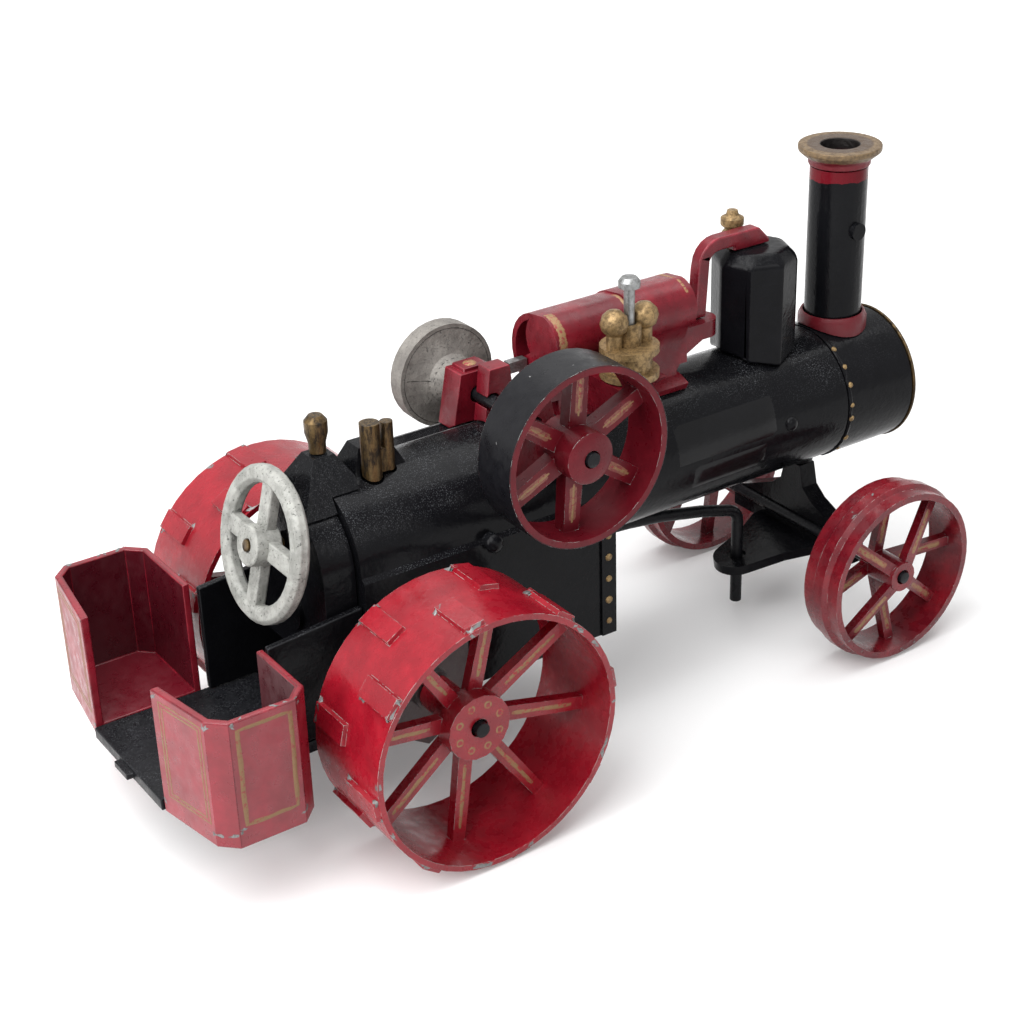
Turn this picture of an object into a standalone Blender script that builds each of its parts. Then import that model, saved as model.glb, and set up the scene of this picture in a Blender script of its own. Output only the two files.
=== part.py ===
"""Cast white-metal model of a twin-cylinder steam traction engine, in metres.

+X is forward, +Y is the engine's left and +Z is up. The origin is on the ground under the
middle of the whole model. Stations along X are measured from the rear axle and shifted once.
"""

import math

import bmesh
import bpy
from mathutils import Matrix, Vector

# Clearances
SEAT_GAP = 0.0003
RUNNING_GAP = 0.0004
CUT_OVERRUN = 0.0020
MERGE_REACH = 0.0000001

# Rear wheels
REAR_TREAD_RADIUS = 0.0264
REAR_WHEEL_WIDTH = 0.0224
REAR_TRACK_OUTSIDE = 0.0932
REAR_RIM_THICKNESS = 0.0012
REAR_HUB_RADIUS = 0.0068
REAR_HUB_LENGTH = 0.0044
REAR_HUB_SETBACK = 0.0070
REAR_BARREL_RADIUS = 0.0036
REAR_SPOKES = 8
REAR_SPOKE_WIDTH = 0.0028
REAR_SPOKE_DEPTH = 0.0022
REAR_SPOKE_SETBACK = 0.0086
REAR_SPOKE_DISH = 0.0016
REAR_SPOKE_PHASE = 11.0
LUGS_PER_ROW = 8
LUG_PHASE = 9.0
LUG_HEIGHT = 0.0009
LUG_WIDTH = 0.0046
LUG_EDGE = 0.0004
LUG_ROOT = 0.0005
LUG_BEVEL = 0.0003
REAR_AXLE_RADIUS = 0.0015
REAR_AXLE_PROUD = 0.0012

# Front wheels
WHEELBASE = 0.1119
FRONT_TREAD_RADIUS = 0.0194
FRONT_RIB_HEIGHT = 0.0009
FRONT_RIB_WIDTH = 0.0026
FRONT_WHEEL_WIDTH = 0.0102
FRONT_TRACK_OUTSIDE = 0.0734
FRONT_RIM_THICKNESS = 0.0015
FRONT_HUB_RADIUS = 0.0034
FRONT_SPOKES = 8
FRONT_SPOKE_PHASE = -4.5
FRONT_SPOKE_WIDTH = 0.0024
FRONT_SPOKE_DEPTH = 0.0020
FRONT_SPOKE_DISH = 0.0036
FRONT_AXLE_RADIUS = 0.0013
FRONT_AXLE_PROUD = 0.0006

# Boiler, firebox and smokebox
BOILER_HEIGHT = 0.0512
BOILER_RADIUS = 0.0150
BARREL_REAR = 0.0497
BARREL_FRONT = 0.1140
SEAT_STRIP_LENGTH = 0.0400
SEAT_STRIP_WIDTH = 0.0060
SEAT_STRIP_HEIGHT = 0.0009
SMOKEBOX_RADIUS = 0.0152
SMOKEBOX_FRONT = 0.1330
SMOKEBOX_WALL = 0.0016
SMOKEBOX_RECESS = 0.0016
FRONT_RING_LENGTH = 0.0010
FRONT_RING_BEAD = 0.0003
DOOR_DOME = 0.0022
DOOR_BOSS_RADIUS = 0.0022
DOOR_BOSS_LENGTH = 0.0012
FIREBOX_REAR = -0.0093
FIREBOX_WIDTH = 0.0318
FIREBOX_DROP = 0.0077
FIREBOX_FLANGE_LENGTH = 0.0036
FIREBOX_FLANGE_PROUD = 0.0005
FIREBOX_BOSS_RADIUS = 0.0018
FIREBOX_BOSS_PROUD = 0.0010
FIREBOX_BOSS_X = 0.0195
FIREBOX_BOSS_DROP = 0.0009
BACKHEAD_LENGTH = 0.0068
BACKHEAD_STEP = 0.0019
BACKHEAD_DROP = 0.0206
FIRE_DOOR_RADIUS = 0.0042
FIRE_DOOR_PROUD = 0.0012
FIRE_DOOR_DROP = 0.0106

# Cast mounds and the small bronze controls on the boiler's top
MOUND_X = -0.0086
MOUND_RISE = 0.0206
MOUND_TOP_LENGTH = 0.0046
MOUND_FRONT_LENGTH = 0.0080
MOUND_WIDTH = 0.0160
COLLAR_X = 0.0030
COLLAR_RISE = 0.0195
COLLAR_TOP_LENGTH = 0.0068
COLLAR_TOP_WIDTH = 0.0044
COLLAR_FOOT_LENGTH = 0.0128
COLLAR_FOOT_WIDTH = 0.0100
COLLAR_Y = 0.0012
PEG_RADIUS = 0.0023
PEG_HEIGHT = 0.0076
PEG_WAIST_SHARE = 0.74
VALVE_X = 0.0006
VALVE_Y = -0.0040
VALVE_RADIUS = 0.0020
VALVE_RISE = 0.0257
SLIM_VALVE_X = 0.0048
SLIM_VALVE_Y = -0.0031
SLIM_VALVE_RADIUS = 0.0013
SLIM_VALVE_RISE = 0.0246

# Chimney
CHIMNEY_X = 0.1220
CHIMNEY_RADIUS = 0.0063
CHIMNEY_RISE = 0.0508
CHIMNEY_BORE_RADIUS = 0.0042
CHIMNEY_BORE_DEPTH = 0.0220
CAP_HEIGHT = 0.0046
CAP_RADIUS = 0.0090
CAP_LIP = 0.0012
CAP_NECK = 0.0004
BASE_RING_WIDTH = 0.0010
BASE_RING_RISE = 0.0178
CHIMNEY_BOSS_RADIUS = 0.0019
CHIMNEY_BOSS_PROUD = 0.0009
CHIMNEY_BOSS_DROP = 0.0134

# Dome, steam pipe and safety valve
DOME_X = 0.0988
DOME_RADIUS = 0.00925
DOME_RISE = 0.0380
DOME_CHAMFER = 0.0022
DOME_SIDES = 8
PIPE_SIZE = 0.00285
PIPE_X = 0.0831
PIPE_LEAN = 0.0011
PIPE_LIFT = 0.0013
PIPE_BEND = 0.0042
PIPE_LANDING_X = 0.0920
PIPE_NOSE_X = 0.0987
PIPE_NOSE_SLOPE = 0.0030
SAFETY_VALVE_X = 0.0963
SAFETY_VALVE_Y = 0.0046
SAFETY_VALVE_HEIGHT = 0.0066
SAFETY_VALVE_RADIUS = 0.0025

# Cylinder casting, saddle and governor
CYLINDER_REAR = 0.0420
CYLINDER_MIDDLE = 0.0610
CYLINDER_FRONT = 0.0770
CYLINDER_RISE = 0.02725
CYLINDER_RADIUS = 0.0087
LOBE_Y = -0.0020
LOBE_RISE = 0.0308
LOBE_RADIUS = 0.0055
FRONT_SWELL = 0.0003
CHEST_REAR = 0.0625
CHEST_FRONT = 0.0762
SHELL_WALL = 0.0014
SHELL_DEPTH = 0.0050
SADDLE_REAR = 0.0440
SADDLE_FRONT = 0.0742
SADDLE_WAIST = 0.0092
SADDLE_FOOT = 0.0126
SADDLE_FLANGE_REAR = 0.0590
SADDLE_FLANGE_THICKNESS = 0.0016
SADDLE_FLANGE_HALF_ANGLE = 27.0
SHELF_FRONT = 0.0874
SHELF_RISE = 0.0252
SHELF_THICKNESS = 0.0036
SHELF_WIDTH = 0.0072
SHELF_GUSSET_DROP = 0.0026
GOVERNOR_BRACKET_RISE = 0.0246
GOVERNOR_BRACKET_LENGTH = 0.0118
GOVERNOR_BRACKET_DEPTH = 0.0097
GOVERNOR_BRACKET_FOOT = 0.0070
GOVERNOR_X = 0.0541
GOVERNOR_Y = -0.0148
GOVERNOR_DISC_RADIUS = 0.0060
GOVERNOR_DISC_THICKNESS = 0.0014
GOVERNOR_NECK_RADIUS = 0.0046
GOVERNOR_NECK_HEIGHT = 0.0038
GOVERNOR_HUB_RADIUS = 0.0024
GOVERNOR_HUB_HEIGHT = 0.0044
GOVERNOR_BALL_RADIUS = 0.0029
GOVERNOR_BALL_SPREAD = 0.0037
GOVERNOR_BALL_RISE = 0.0052
GOVERNOR_BORE = 0.0014
SCREW_RADIUS = 0.0011
SCREW_HEAD_RADIUS = 0.0022
SCREW_HEAD_HEIGHT = 0.0021
SCREW_HEAD_RISE = 0.0096

# Crankshaft, flywheel, disc and bearings
CRANK_X = 0.0324
CRANK_RISE = 0.0191
CRANK_RADIUS = 0.0015
CRANK_PROUD = 0.0005
FLYWHEEL_FACE = 0.0312
FLYWHEEL_WIDTH = 0.0106
FLYWHEEL_RADIUS = 0.0184
FLYWHEEL_RIM_THICKNESS = 0.0014
FLYWHEEL_HUB_RADIUS = 0.0052
FLYWHEEL_NOSE_RADIUS = 0.0039
FLYWHEEL_NOSE_LENGTH = 0.0006
FLYWHEEL_SPOKES = 6
FLYWHEEL_SPOKE_WIDTH = 0.0036
FLYWHEEL_SPOKE_DEPTH = 0.0030
FLYWHEEL_SPOKE_SETBACK = 0.0046
FLYWHEEL_PHASE = 5.0
DISC_RADIUS = 0.0112
DISC_INNER_Y = 0.0188
DISC_THICKNESS = 0.0040
DISC_CONE_RADIUS = 0.0084
DISC_CONE_DEPTH = 0.0014
DISC_NECK_RADIUS = 0.0052
DISC_NOSE_RADIUS = 0.0028
BEARING_INNER = 0.0070
BEARING_OUTER = 0.0129
BEARING_RISE = 0.0242
BEARING_BASE_LENGTH = 0.0172
BEARING_TOP_LENGTH = 0.0080
BEARING_CAP_LENGTH = 0.0056
BEARING_CAP_HEIGHT = 0.0007
GUIDE_X = 0.0342
GUIDE_INNER = 0.0016
GUIDE_OUTER = 0.0058
GUIDE_RISE = 0.0262
GUIDE_BASE_LENGTH = 0.0118
GUIDE_TOP_LENGTH = 0.0048
SLIDE_BAR_WIDTH = 0.0020
SLIDE_BAR_HEIGHT = 0.0024

# Platform, frames and bunkers
PLATFORM_REAR = -0.0545
PLATFORM_WIDTH = 0.0300
PLATFORM_DROP = 0.0097
PLATFORM_THICKNESS = 0.0025
HITCH_STUB_LENGTH = 0.0014
HITCH_STUB_WIDTH = 0.0060
FRAME_REAR = -0.0300
FRAME_THICKNESS = 0.0015
FRAME_HEIGHT_REAR = 0.0233
FRAME_HEIGHT_FRONT = 0.0251
BUNKER_REAR = -0.0540
BUNKER_FRONT = -0.0312
BUNKER_WALL = 0.0014
BUNKER_LEFT_SIDE = 0.0376
BUNKER_RIGHT_SIDE = 0.0342
BUNKER_SWEEP = 0.0028
BUNKER_HEIGHT = 0.0241
BUNKER_CORNER_REAR = 0.0032
BUNKER_CORNER_FRONT = 0.0034
HANGER_DROP = 0.0040
HANGER_LENGTH = 0.0200
HANGER_RISE = 0.0090
HANGER_SHARE = 0.6
HANGER_BOSS_RADIUS = 0.0042

# Steering wheel
HANDWHEEL_X = -0.0216
HANDWHEEL_RISE = 0.0052
HANDWHEEL_RADIUS = 0.0151
HANDWHEEL_RIM_WIDTH = 0.0030
HANDWHEEL_RIM_DEPTH = 0.0026
HANDWHEEL_TILT = 14.0
HANDWHEEL_HUB_RADIUS = 0.0038
HANDWHEEL_HUB_LENGTH = 0.0050
HANDWHEEL_HUB_PROUD = 0.0034
HANDWHEEL_SPOKES = 4
HANDWHEEL_SPOKE_WIDTH = 0.0032
HANDWHEEL_SPOKE_DEPTH = 0.0018
COLUMN_RADIUS = 0.0012
COLUMN_PROUD = 0.0006

# Front bolster, turning casting and reach rod
PIVOT_AHEAD = 0.0022
PAD_RADIUS = 0.0030
PAD_LENGTH = 0.0017
KINGPIN_RADIUS = 0.0012
KINGPIN_DEPTH = 0.0095
BOLSTER_NECK = 0.0050
BOLSTER_WIDTH = 0.0392
BOLSTER_THICKNESS = 0.0044
TONGUE_DROP = 0.0024
TONGUE_THICKNESS = 0.0022
TONGUE_REACH = 0.0181
TONGUE_SLOPE = 8.0
TONGUE_TIP_RADIUS = 0.0053
TONGUE_ROOT_WIDTH = 0.0204
TONGUE_WAIST_WIDTH = 0.0150
TONGUE_HOLE_RADIUS = 0.0021
REACH_ROD_RADIUS = 0.00135
REACH_ROD_CLEARANCE = 0.00055
REACH_ROD_AHEAD = 0.0033
REACH_ROD_HOOK = 0.0030
REACH_ROD_REAR_BEND = 0.0020
REACH_ROD_FRONT_BEND = 0.0036
REACH_ROD_RISE = 0.0088
REACH_ROD_LOW = 0.0036

# How finely round forms are cut
BOILER_STEPS = 64
WHEEL_STEPS = 48
ROUND_STEPS = 36
SMALL_STEPS = 18
FINE_STEPS = 12
BEND_STEPS = 5

# Places that follow from the sizes above
REAR_AXLE_HEIGHT = REAR_TREAD_RADIUS + LUG_HEIGHT
FRONT_AXLE_HEIGHT = FRONT_TREAD_RADIUS + FRONT_RIB_HEIGHT
REAR_FACE = REAR_TRACK_OUTSIDE / 2
REAR_INNER_FACE = REAR_FACE - REAR_WHEEL_WIDTH
FRONT_FACE = FRONT_TRACK_OUTSIDE / 2
MODEL_REAR = PLATFORM_REAR - HITCH_STUB_LENGTH
MODEL_FRONT = SMOKEBOX_FRONT + FRONT_RING_LENGTH + DOOR_BOSS_LENGTH
SHIFT = -(MODEL_REAR + MODEL_FRONT) / 2
PLATFORM_BOTTOM = REAR_AXLE_HEIGHT - PLATFORM_DROP
FLOOR_TOP = PLATFORM_BOTTOM + PLATFORM_THICKNESS
FIREBOX_SIDE = FIREBOX_WIDTH / 2
FIREBOX_BOTTOM = REAR_AXLE_HEIGHT - FIREBOX_DROP
FIREBOX_FRONT = BARREL_REAR - SEAT_GAP
BACKHEAD_FRONT = FIREBOX_REAR - SEAT_GAP
BACKHEAD_REAR = BACKHEAD_FRONT - BACKHEAD_LENGTH
BACKHEAD_RADIUS = BOILER_RADIUS - BACKHEAD_STEP
MOUND_TOP = BOILER_HEIGHT + MOUND_RISE
BOILER_UNDERSIDE = BOILER_HEIGHT - BOILER_RADIUS
CHIMNEY_TOP = BOILER_HEIGHT + CHIMNEY_RISE
DOME_TOP = BOILER_HEIGHT + DOME_RISE
PIPE_HEIGHT = DOME_TOP + PIPE_LIFT + PIPE_SIZE / 2
CYLINDER_HEIGHT = BOILER_HEIGHT + CYLINDER_RISE
LOBE_HEIGHT = BOILER_HEIGHT + LOBE_RISE
SHELF_TOP = BOILER_HEIGHT + SHELF_RISE
BRACKET_TOP = BOILER_HEIGHT + GOVERNOR_BRACKET_RISE
CRANK_HEIGHT = BOILER_HEIGHT + CRANK_RISE
BEARING_TOP = BOILER_HEIGHT + BEARING_RISE
GUIDE_TOP = BOILER_HEIGHT + GUIDE_RISE
BUNKER_TOP = FLOOR_TOP + BUNKER_HEIGHT
HANDWHEEL_HEIGHT = BOILER_HEIGHT + HANDWHEEL_RISE
PIVOT_X = WHEELBASE + PIVOT_AHEAD
PAD_BOTTOM = BOILER_HEIGHT - SMOKEBOX_RADIUS - PAD_LENGTH
BOLSTER_TOP = PAD_BOTTOM - RUNNING_GAP
TONGUE_HOLE_X = PIVOT_X - TONGUE_REACH
TONGUE_ROOT_TOP = FRONT_AXLE_HEIGHT - TONGUE_DROP
REACH_ROD_REAR = BARREL_REAR + REACH_ROD_AHEAD
REACH_ROD_HEIGHT = BOILER_UNDERSIDE - REACH_ROD_CLEARANCE - REACH_ROD_RADIUS


def station(x):
    """A place along the engine, measured from the rear axle, in the model's frame."""
    return x + SHIFT


def clear_scene():
    for old in list(bpy.data.objects):
        bpy.data.objects.remove(old, do_unlink=True)


def paint(name, colour, roughness, metallic=0.0):
    material = bpy.data.materials.new(name)
    material.use_nodes = True
    shader = material.node_tree.nodes["Principled BSDF"]
    shader.inputs["Base Color"].default_value = (*colour, 1.0)
    shader.inputs["Roughness"].default_value = roughness
    shader.inputs["Metallic"].default_value = metallic
    return material


def finishes():
    return {
        "black": paint("black enamel", (0.012, 0.012, 0.014), 0.25),
        "crimson": paint("crimson enamel", (0.55, 0.02, 0.03), 0.35),
        "wine": paint("wine-red enamel", (0.30, 0.015, 0.03), 0.40),
        "bronze": paint("bronze paint", (0.30, 0.20, 0.08), 0.55, 0.4),
        "white": paint("off-white enamel", (0.62, 0.61, 0.57), 0.60),
        "grey": paint("grey enamel", (0.36, 0.34, 0.32), 0.60),
        "steel": paint("bare steel", (0.55, 0.56, 0.57), 0.30, 1.0),
    }


def finish_object(name, bm, material):
    bmesh.ops.remove_doubles(bm, verts=bm.verts, dist=MERGE_REACH)
    bmesh.ops.recalc_face_normals(bm, faces=bm.faces)
    mesh = bpy.data.meshes.new(name)
    bm.to_mesh(mesh)
    bm.free()
    obj = bpy.data.objects.new(name, mesh)
    bpy.context.scene.collection.objects.link(obj)
    if material is not None:
        mesh.materials.append(material.copy())
    mesh.shade_smooth()
    mesh.set_sharp_from_angle(angle=math.radians(35))
    return obj


def put_origin(obj, point):
    """Moves an object's origin to a point on its joint's axis and leaves its shape in place."""
    obj.data.transform(Matrix.Translation(-point))
    obj.location = point
    return obj


def turned(name, profile, axis, centre, steps, material):
    """Turns (radius, distance along the axis) points about an axis through the centre."""
    bm = bmesh.new()
    frame = axis.to_track_quat("Z", "Y").to_matrix()
    rings = []
    for radius, along in profile:
        if radius <= 0:
            rings.append([bm.verts.new(centre + frame @ Vector((0, 0, along)))])
            continue
        ring = []
        for step in range(steps):
            turn = math.tau * step / steps
            spot = Vector((radius * math.cos(turn), radius * math.sin(turn), along))
            ring.append(bm.verts.new(centre + frame @ spot))
        rings.append(ring)
    pairs = list(zip(rings, rings[1:]))
    if profile[0][0] > 0:
        pairs.append((rings[-1], rings[0]))
    for low, high in pairs:
        for step in range(steps):
            following = (step + 1) % steps
            if len(low) == 1:
                bm.faces.new((low[0], high[step], high[following]))
            elif len(high) == 1:
                bm.faces.new((low[step], low[following], high[0]))
            else:
                bm.faces.new((low[step], low[following], high[following], high[step]))
    return finish_object(name, bm, material)


def ring_profile(inner, outer, start, end):
    return [(inner, start), (outer, start), (outer, end), (inner, end)]


def solid_profile(radius, start, end):
    return [(0, start), (radius, start), (radius, end), (0, end)]


AXES = {"x": Vector((1, 0, 0)), "y": Vector((0, 1, 0)), "z": Vector((0, 0, 1))}


def rod(name, start, end, radius, steps, material):
    length = (end - start).length
    return turned(name, solid_profile(radius, 0, length), (end - start).normalized(), start, steps, material)


def prism(name, outline, plane, start, end, material):
    """Extrudes an outline in the plane "xz", "yz" or "xy" between two places on the third axis."""
    def spot(a, b, depth):
        if plane == "xz":
            return Vector((a, depth, b))
        if plane == "yz":
            return Vector((depth, a, b))
        return Vector((a, b, depth))
    bm = bmesh.new()
    low = [bm.verts.new(spot(a, b, start)) for a, b in outline]
    high = [bm.verts.new(spot(a, b, end)) for a, b in outline]
    bm.faces.new(low)
    bm.faces.new(reversed(high))
    count = len(outline)
    for index in range(count):
        following = (index + 1) % count
        bm.faces.new((low[index], high[index], high[following], low[following]))
    return finish_object(name, bm, material)


def block(name, x_range, y_range, z_range, material):
    outline = [(x_range[0], z_range[0]), (x_range[1], z_range[0]), (x_range[1], z_range[1]),
               (x_range[0], z_range[1])]
    return prism(name, outline, "xz", y_range[0], y_range[1], material)


def centred_rectangle(x, y, length, width, z):
    """A level rectangle about a place along and across the engine."""
    half_length = length / 2
    half_width = width / 2
    return rectangle((station(x - half_length), station(x + half_length)), (y - half_width, y + half_width), z)


def loft(name, sections, material):
    """Joins sections of equally many points with flat sides and closes both ends."""
    bm = bmesh.new()
    rings = [[bm.verts.new(spot) for spot in section] for section in sections]
    count = len(rings[0])
    bm.faces.new(rings[0])
    bm.faces.new(reversed(rings[-1]))
    for low, high in zip(rings, rings[1:]):
        for index in range(count):
            following = (index + 1) % count
            bm.faces.new((low[index], high[index], high[following], low[following]))
    return finish_object(name, bm, material)


def rectangle(x_range, y_range, z):
    return [Vector((x_range[0], y_range[0], z)), Vector((x_range[1], y_range[0], z)),
            Vector((x_range[1], y_range[1], z)), Vector((x_range[0], y_range[1], z))]


def sweep(name, path, section, material):
    """Carries a section of (side, up) points along a path that lies in a plane of constant Y."""
    rings = []
    for index, spot in enumerate(path):
        before = path[max(index - 1, 0)]
        after = path[min(index + 1, len(path) - 1)]
        into = (spot - before).normalized() if index else (after - spot).normalized()
        out = (after - spot).normalized() if index < len(path) - 1 else into
        along = (into + out).normalized()
        up = AXES["y"].cross(along)
        stretch = 1 / max(along.dot(into), 0.5)
        rings.append([spot + AXES["y"] * side + up * rise * stretch for side, rise in section])
    return loft(name, rings, material)


def rounded_path(corners, radius):
    """Rounds the inner corners of a path with arcs of the radius."""
    path = [corners[0]]
    for before, corner, after in zip(corners, corners[1:], corners[2:]):
        into = (corner - before).normalized()
        out = (after - corner).normalized()
        half = into.angle(out) / 2
        cut = radius * math.tan(half)
        centre = corner - into * cut + (out - into * into.dot(out)).normalized() * radius
        start = corner - into * cut - centre
        turn_axis = into.cross(out).normalized()
        for step in range(BEND_STEPS + 1):
            turn = Matrix.Rotation(2 * half * step / BEND_STEPS, 3, turn_axis)
            path.append(centre + turn @ start)
    path.append(corners[-1])
    return path


def round_section(radius, steps):
    return [(radius * math.cos(math.tau * step / steps), radius * math.sin(math.tau * step / steps))
            for step in range(steps)]


def apply_boolean(obj, tool, operation):
    tool.hide_render = True
    tool.display_type = "WIRE"
    modifier = obj.modifiers.new(operation.lower() + " " + tool.name, "BOOLEAN")
    modifier.operation = operation
    modifier.solver = "EXACT"
    modifier.object = tool


def cut(obj, *tools):
    for tool in tools:
        apply_boolean(obj, tool, "DIFFERENCE")
    return obj


def fuse(obj, *tools):
    for tool in tools:
        apply_boolean(obj, tool, "UNION")
    return obj


def arc_points(centre_a, centre_b, radius, start_degrees, end_degrees, steps):
    points = []
    for step in range(steps + 1):
        turn = math.radians(start_degrees + (end_degrees - start_degrees) * step / steps)
        points.append((centre_a + radius * math.cos(turn), centre_b + radius * math.sin(turn)))
    return points


def smokebox_room(name, start, end):
    """The room that the smokebox takes, with the gap that a seated piece keeps."""
    return turned(name, solid_profile(SMOKEBOX_RADIUS + SEAT_GAP, start, end), AXES["x"],
                  Vector((0, 0, BOILER_HEIGHT)), BOILER_STEPS, None)


def boiler_room(name, start, end):
    """The room that the boiler and the firebox's round top take, with the same gap."""
    return turned(name, solid_profile(BOILER_RADIUS + SEAT_GAP, start, end), AXES["x"],
                  Vector((0, 0, BOILER_HEIGHT)), BOILER_STEPS, None)


def spoke(name, centre, ends, faces, width, turn):
    """One tapered bar from the hub to inside the rim. Each end has its radius and its two faces."""
    root_share = 1.15
    sections = []
    for radius, (first, second), spread in ((ends[0], faces[0], root_share), (ends[1], faces[1], 1)):
        low, high = sorted((first, second))
        across = width / 2 * spread
        sections.append([Vector((-across, low, radius)), Vector((across, low, radius)),
                         Vector((across, high, radius)), Vector((-across, high, radius))])
    turning = Matrix.Rotation(turn, 3, "Y")
    return loft(name, [[centre + turning @ spot for spot in section] for section in sections], None)


def rear_wheel(side, material):
    """A wide cleated wheel: rim, two staggered rows of lugs, hub disc and eight flat spokes."""
    label = "left" if side > 0 else "right"
    name = f"rear_wheel_{label}"
    centre = Vector((station(0), 0, REAR_AXLE_HEIGHT))
    outward = AXES["y"] * side
    bore = REAR_AXLE_RADIUS + RUNNING_GAP
    hub_face = REAR_FACE - REAR_HUB_SETBACK
    hub_back = hub_face - REAR_HUB_LENGTH
    hub_profile = [(bore, REAR_INNER_FACE), (REAR_BARREL_RADIUS, REAR_INNER_FACE), (REAR_BARREL_RADIUS, hub_back),
                   (REAR_HUB_RADIUS, hub_back), (REAR_HUB_RADIUS, hub_face), (bore, hub_face)]
    rim_inner = REAR_TREAD_RADIUS - REAR_RIM_THICKNESS
    wheel = turned(name, ring_profile(rim_inner, REAR_TREAD_RADIUS, REAR_INNER_FACE, REAR_FACE), outward, centre,
                   WHEEL_STEPS, material)
    hub = turned(name + "_hub", hub_profile, outward, centre, SMALL_STEPS, None)
    rim_face = REAR_FACE - REAR_SPOKE_SETBACK
    foot_face = rim_face - REAR_SPOKE_DISH
    faces = ((side * foot_face, side * (foot_face - REAR_SPOKE_DEPTH)),
             (side * rim_face, side * (rim_face - REAR_SPOKE_DEPTH)))
    ends = (REAR_HUB_RADIUS - REAR_RIM_THICKNESS, REAR_TREAD_RADIUS - REAR_RIM_THICKNESS / 2)
    spokes = [spoke(f"{name}_spoke_{index}", centre, ends, faces, REAR_SPOKE_WIDTH,
                    math.radians(REAR_SPOKE_PHASE) + math.tau * index / REAR_SPOKES)
              for index in range(REAR_SPOKES)]
    lugs = lug_rows(name + "_lugs", centre, side)
    fuse(wheel, hub, *spokes, lugs)
    return put_origin(wheel, centre)


def lug_rows(name, centre, side):
    """Both rows of lugs, each one a low block that narrows towards its top."""
    middle = (REAR_INNER_FACE + REAR_FACE) / 2
    outer_row = (middle + LUG_EDGE / 2, REAR_FACE - LUG_EDGE, 0)
    rows = (outer_row, (REAR_INNER_FACE + LUG_EDGE, middle - LUG_EDGE / 2, 1 / 2))
    low = REAR_TREAD_RADIUS - LUG_ROOT
    high = REAR_TREAD_RADIUS + LUG_HEIGHT
    bm = bmesh.new()
    for start, end, offset in rows:
        for index in range(LUGS_PER_ROW):
            middle_turn = math.tau * (index + offset) / LUGS_PER_ROW + math.pi / 2 - math.radians(LUG_PHASE)
            corners = []
            for radius, inset in ((low, 0), (high, LUG_BEVEL)):
                half_turn = (LUG_WIDTH / 2 - inset) / REAR_TREAD_RADIUS
                for along, sign in ((start + inset, -1), (start + inset, 1), (end - inset, 1), (end - inset, -1)):
                    turn = middle_turn + sign * half_turn
                    spot = Vector((radius * math.sin(turn), side * along, radius * math.cos(turn)))
                    corners.append(bm.verts.new(centre + spot))
            for face in ((0, 1, 2, 3), (4, 7, 6, 5), (0, 4, 5, 1), (1, 5, 6, 2), (2, 6, 7, 3), (3, 7, 4, 0)):
                bm.faces.new([corners[corner] for corner in face])
    return finish_object(name, bm, None)


def front_wheel(side, material):
    """A narrower wheel with a raised guide rib. Its spokes leave the hub's two ends by turns."""
    label = "left" if side > 0 else "right"
    name = f"front_wheel_{label}"
    centre = Vector((station(WHEELBASE), 0, FRONT_AXLE_HEIGHT))
    inner_face = FRONT_FACE - FRONT_WHEEL_WIDTH
    middle = (FRONT_FACE + inner_face) / 2
    outward = AXES["y"] * side
    rim_inner = FRONT_TREAD_RADIUS - FRONT_RIM_THICKNESS
    rib = FRONT_TREAD_RADIUS + FRONT_RIB_HEIGHT
    half_rib = FRONT_RIB_WIDTH / 2
    profile = [(rim_inner, inner_face), (FRONT_TREAD_RADIUS, inner_face),
               (FRONT_TREAD_RADIUS, middle - half_rib - FRONT_RIB_HEIGHT), (rib, middle - half_rib),
               (rib, middle + half_rib), (FRONT_TREAD_RADIUS, middle + half_rib + FRONT_RIB_HEIGHT),
               (FRONT_TREAD_RADIUS, FRONT_FACE), (rim_inner, FRONT_FACE)]
    wheel = turned(name, profile, outward, centre, WHEEL_STEPS, material)
    bore = FRONT_AXLE_RADIUS + RUNNING_GAP
    hub = turned(name + "_hub", ring_profile(bore, FRONT_HUB_RADIUS, inner_face, FRONT_FACE), outward, centre,
                 SMALL_STEPS, None)
    half_depth = FRONT_SPOKE_DEPTH / 2
    ends = (FRONT_HUB_RADIUS - FRONT_AXLE_RADIUS / 2, FRONT_TREAD_RADIUS - FRONT_RIM_THICKNESS / 2)
    spokes = []
    for index in range(FRONT_SPOKES):
        root = middle + (FRONT_SPOKE_DISH if index % 2 else -FRONT_SPOKE_DISH)
        faces = ((side * (root + half_depth), side * (root - half_depth)),
                 (side * (middle + half_depth), side * (middle - half_depth)))
        spokes.append(spoke(f"{name}_spoke_{index}", centre, ends, faces, FRONT_SPOKE_WIDTH,
                            math.radians(FRONT_SPOKE_PHASE) + math.tau * index / FRONT_SPOKES))
    fuse(wheel, hub, *spokes)
    return put_origin(wheel, centre)


def rear_axle(finish):
    end = REAR_FACE - REAR_HUB_SETBACK + REAR_AXLE_PROUD
    rod("rear_axle", Vector((station(0), -end, REAR_AXLE_HEIGHT)), Vector((station(0), end, REAR_AXLE_HEIGHT)),
        REAR_AXLE_RADIUS, SMALL_STEPS, finish["black"])


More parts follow.
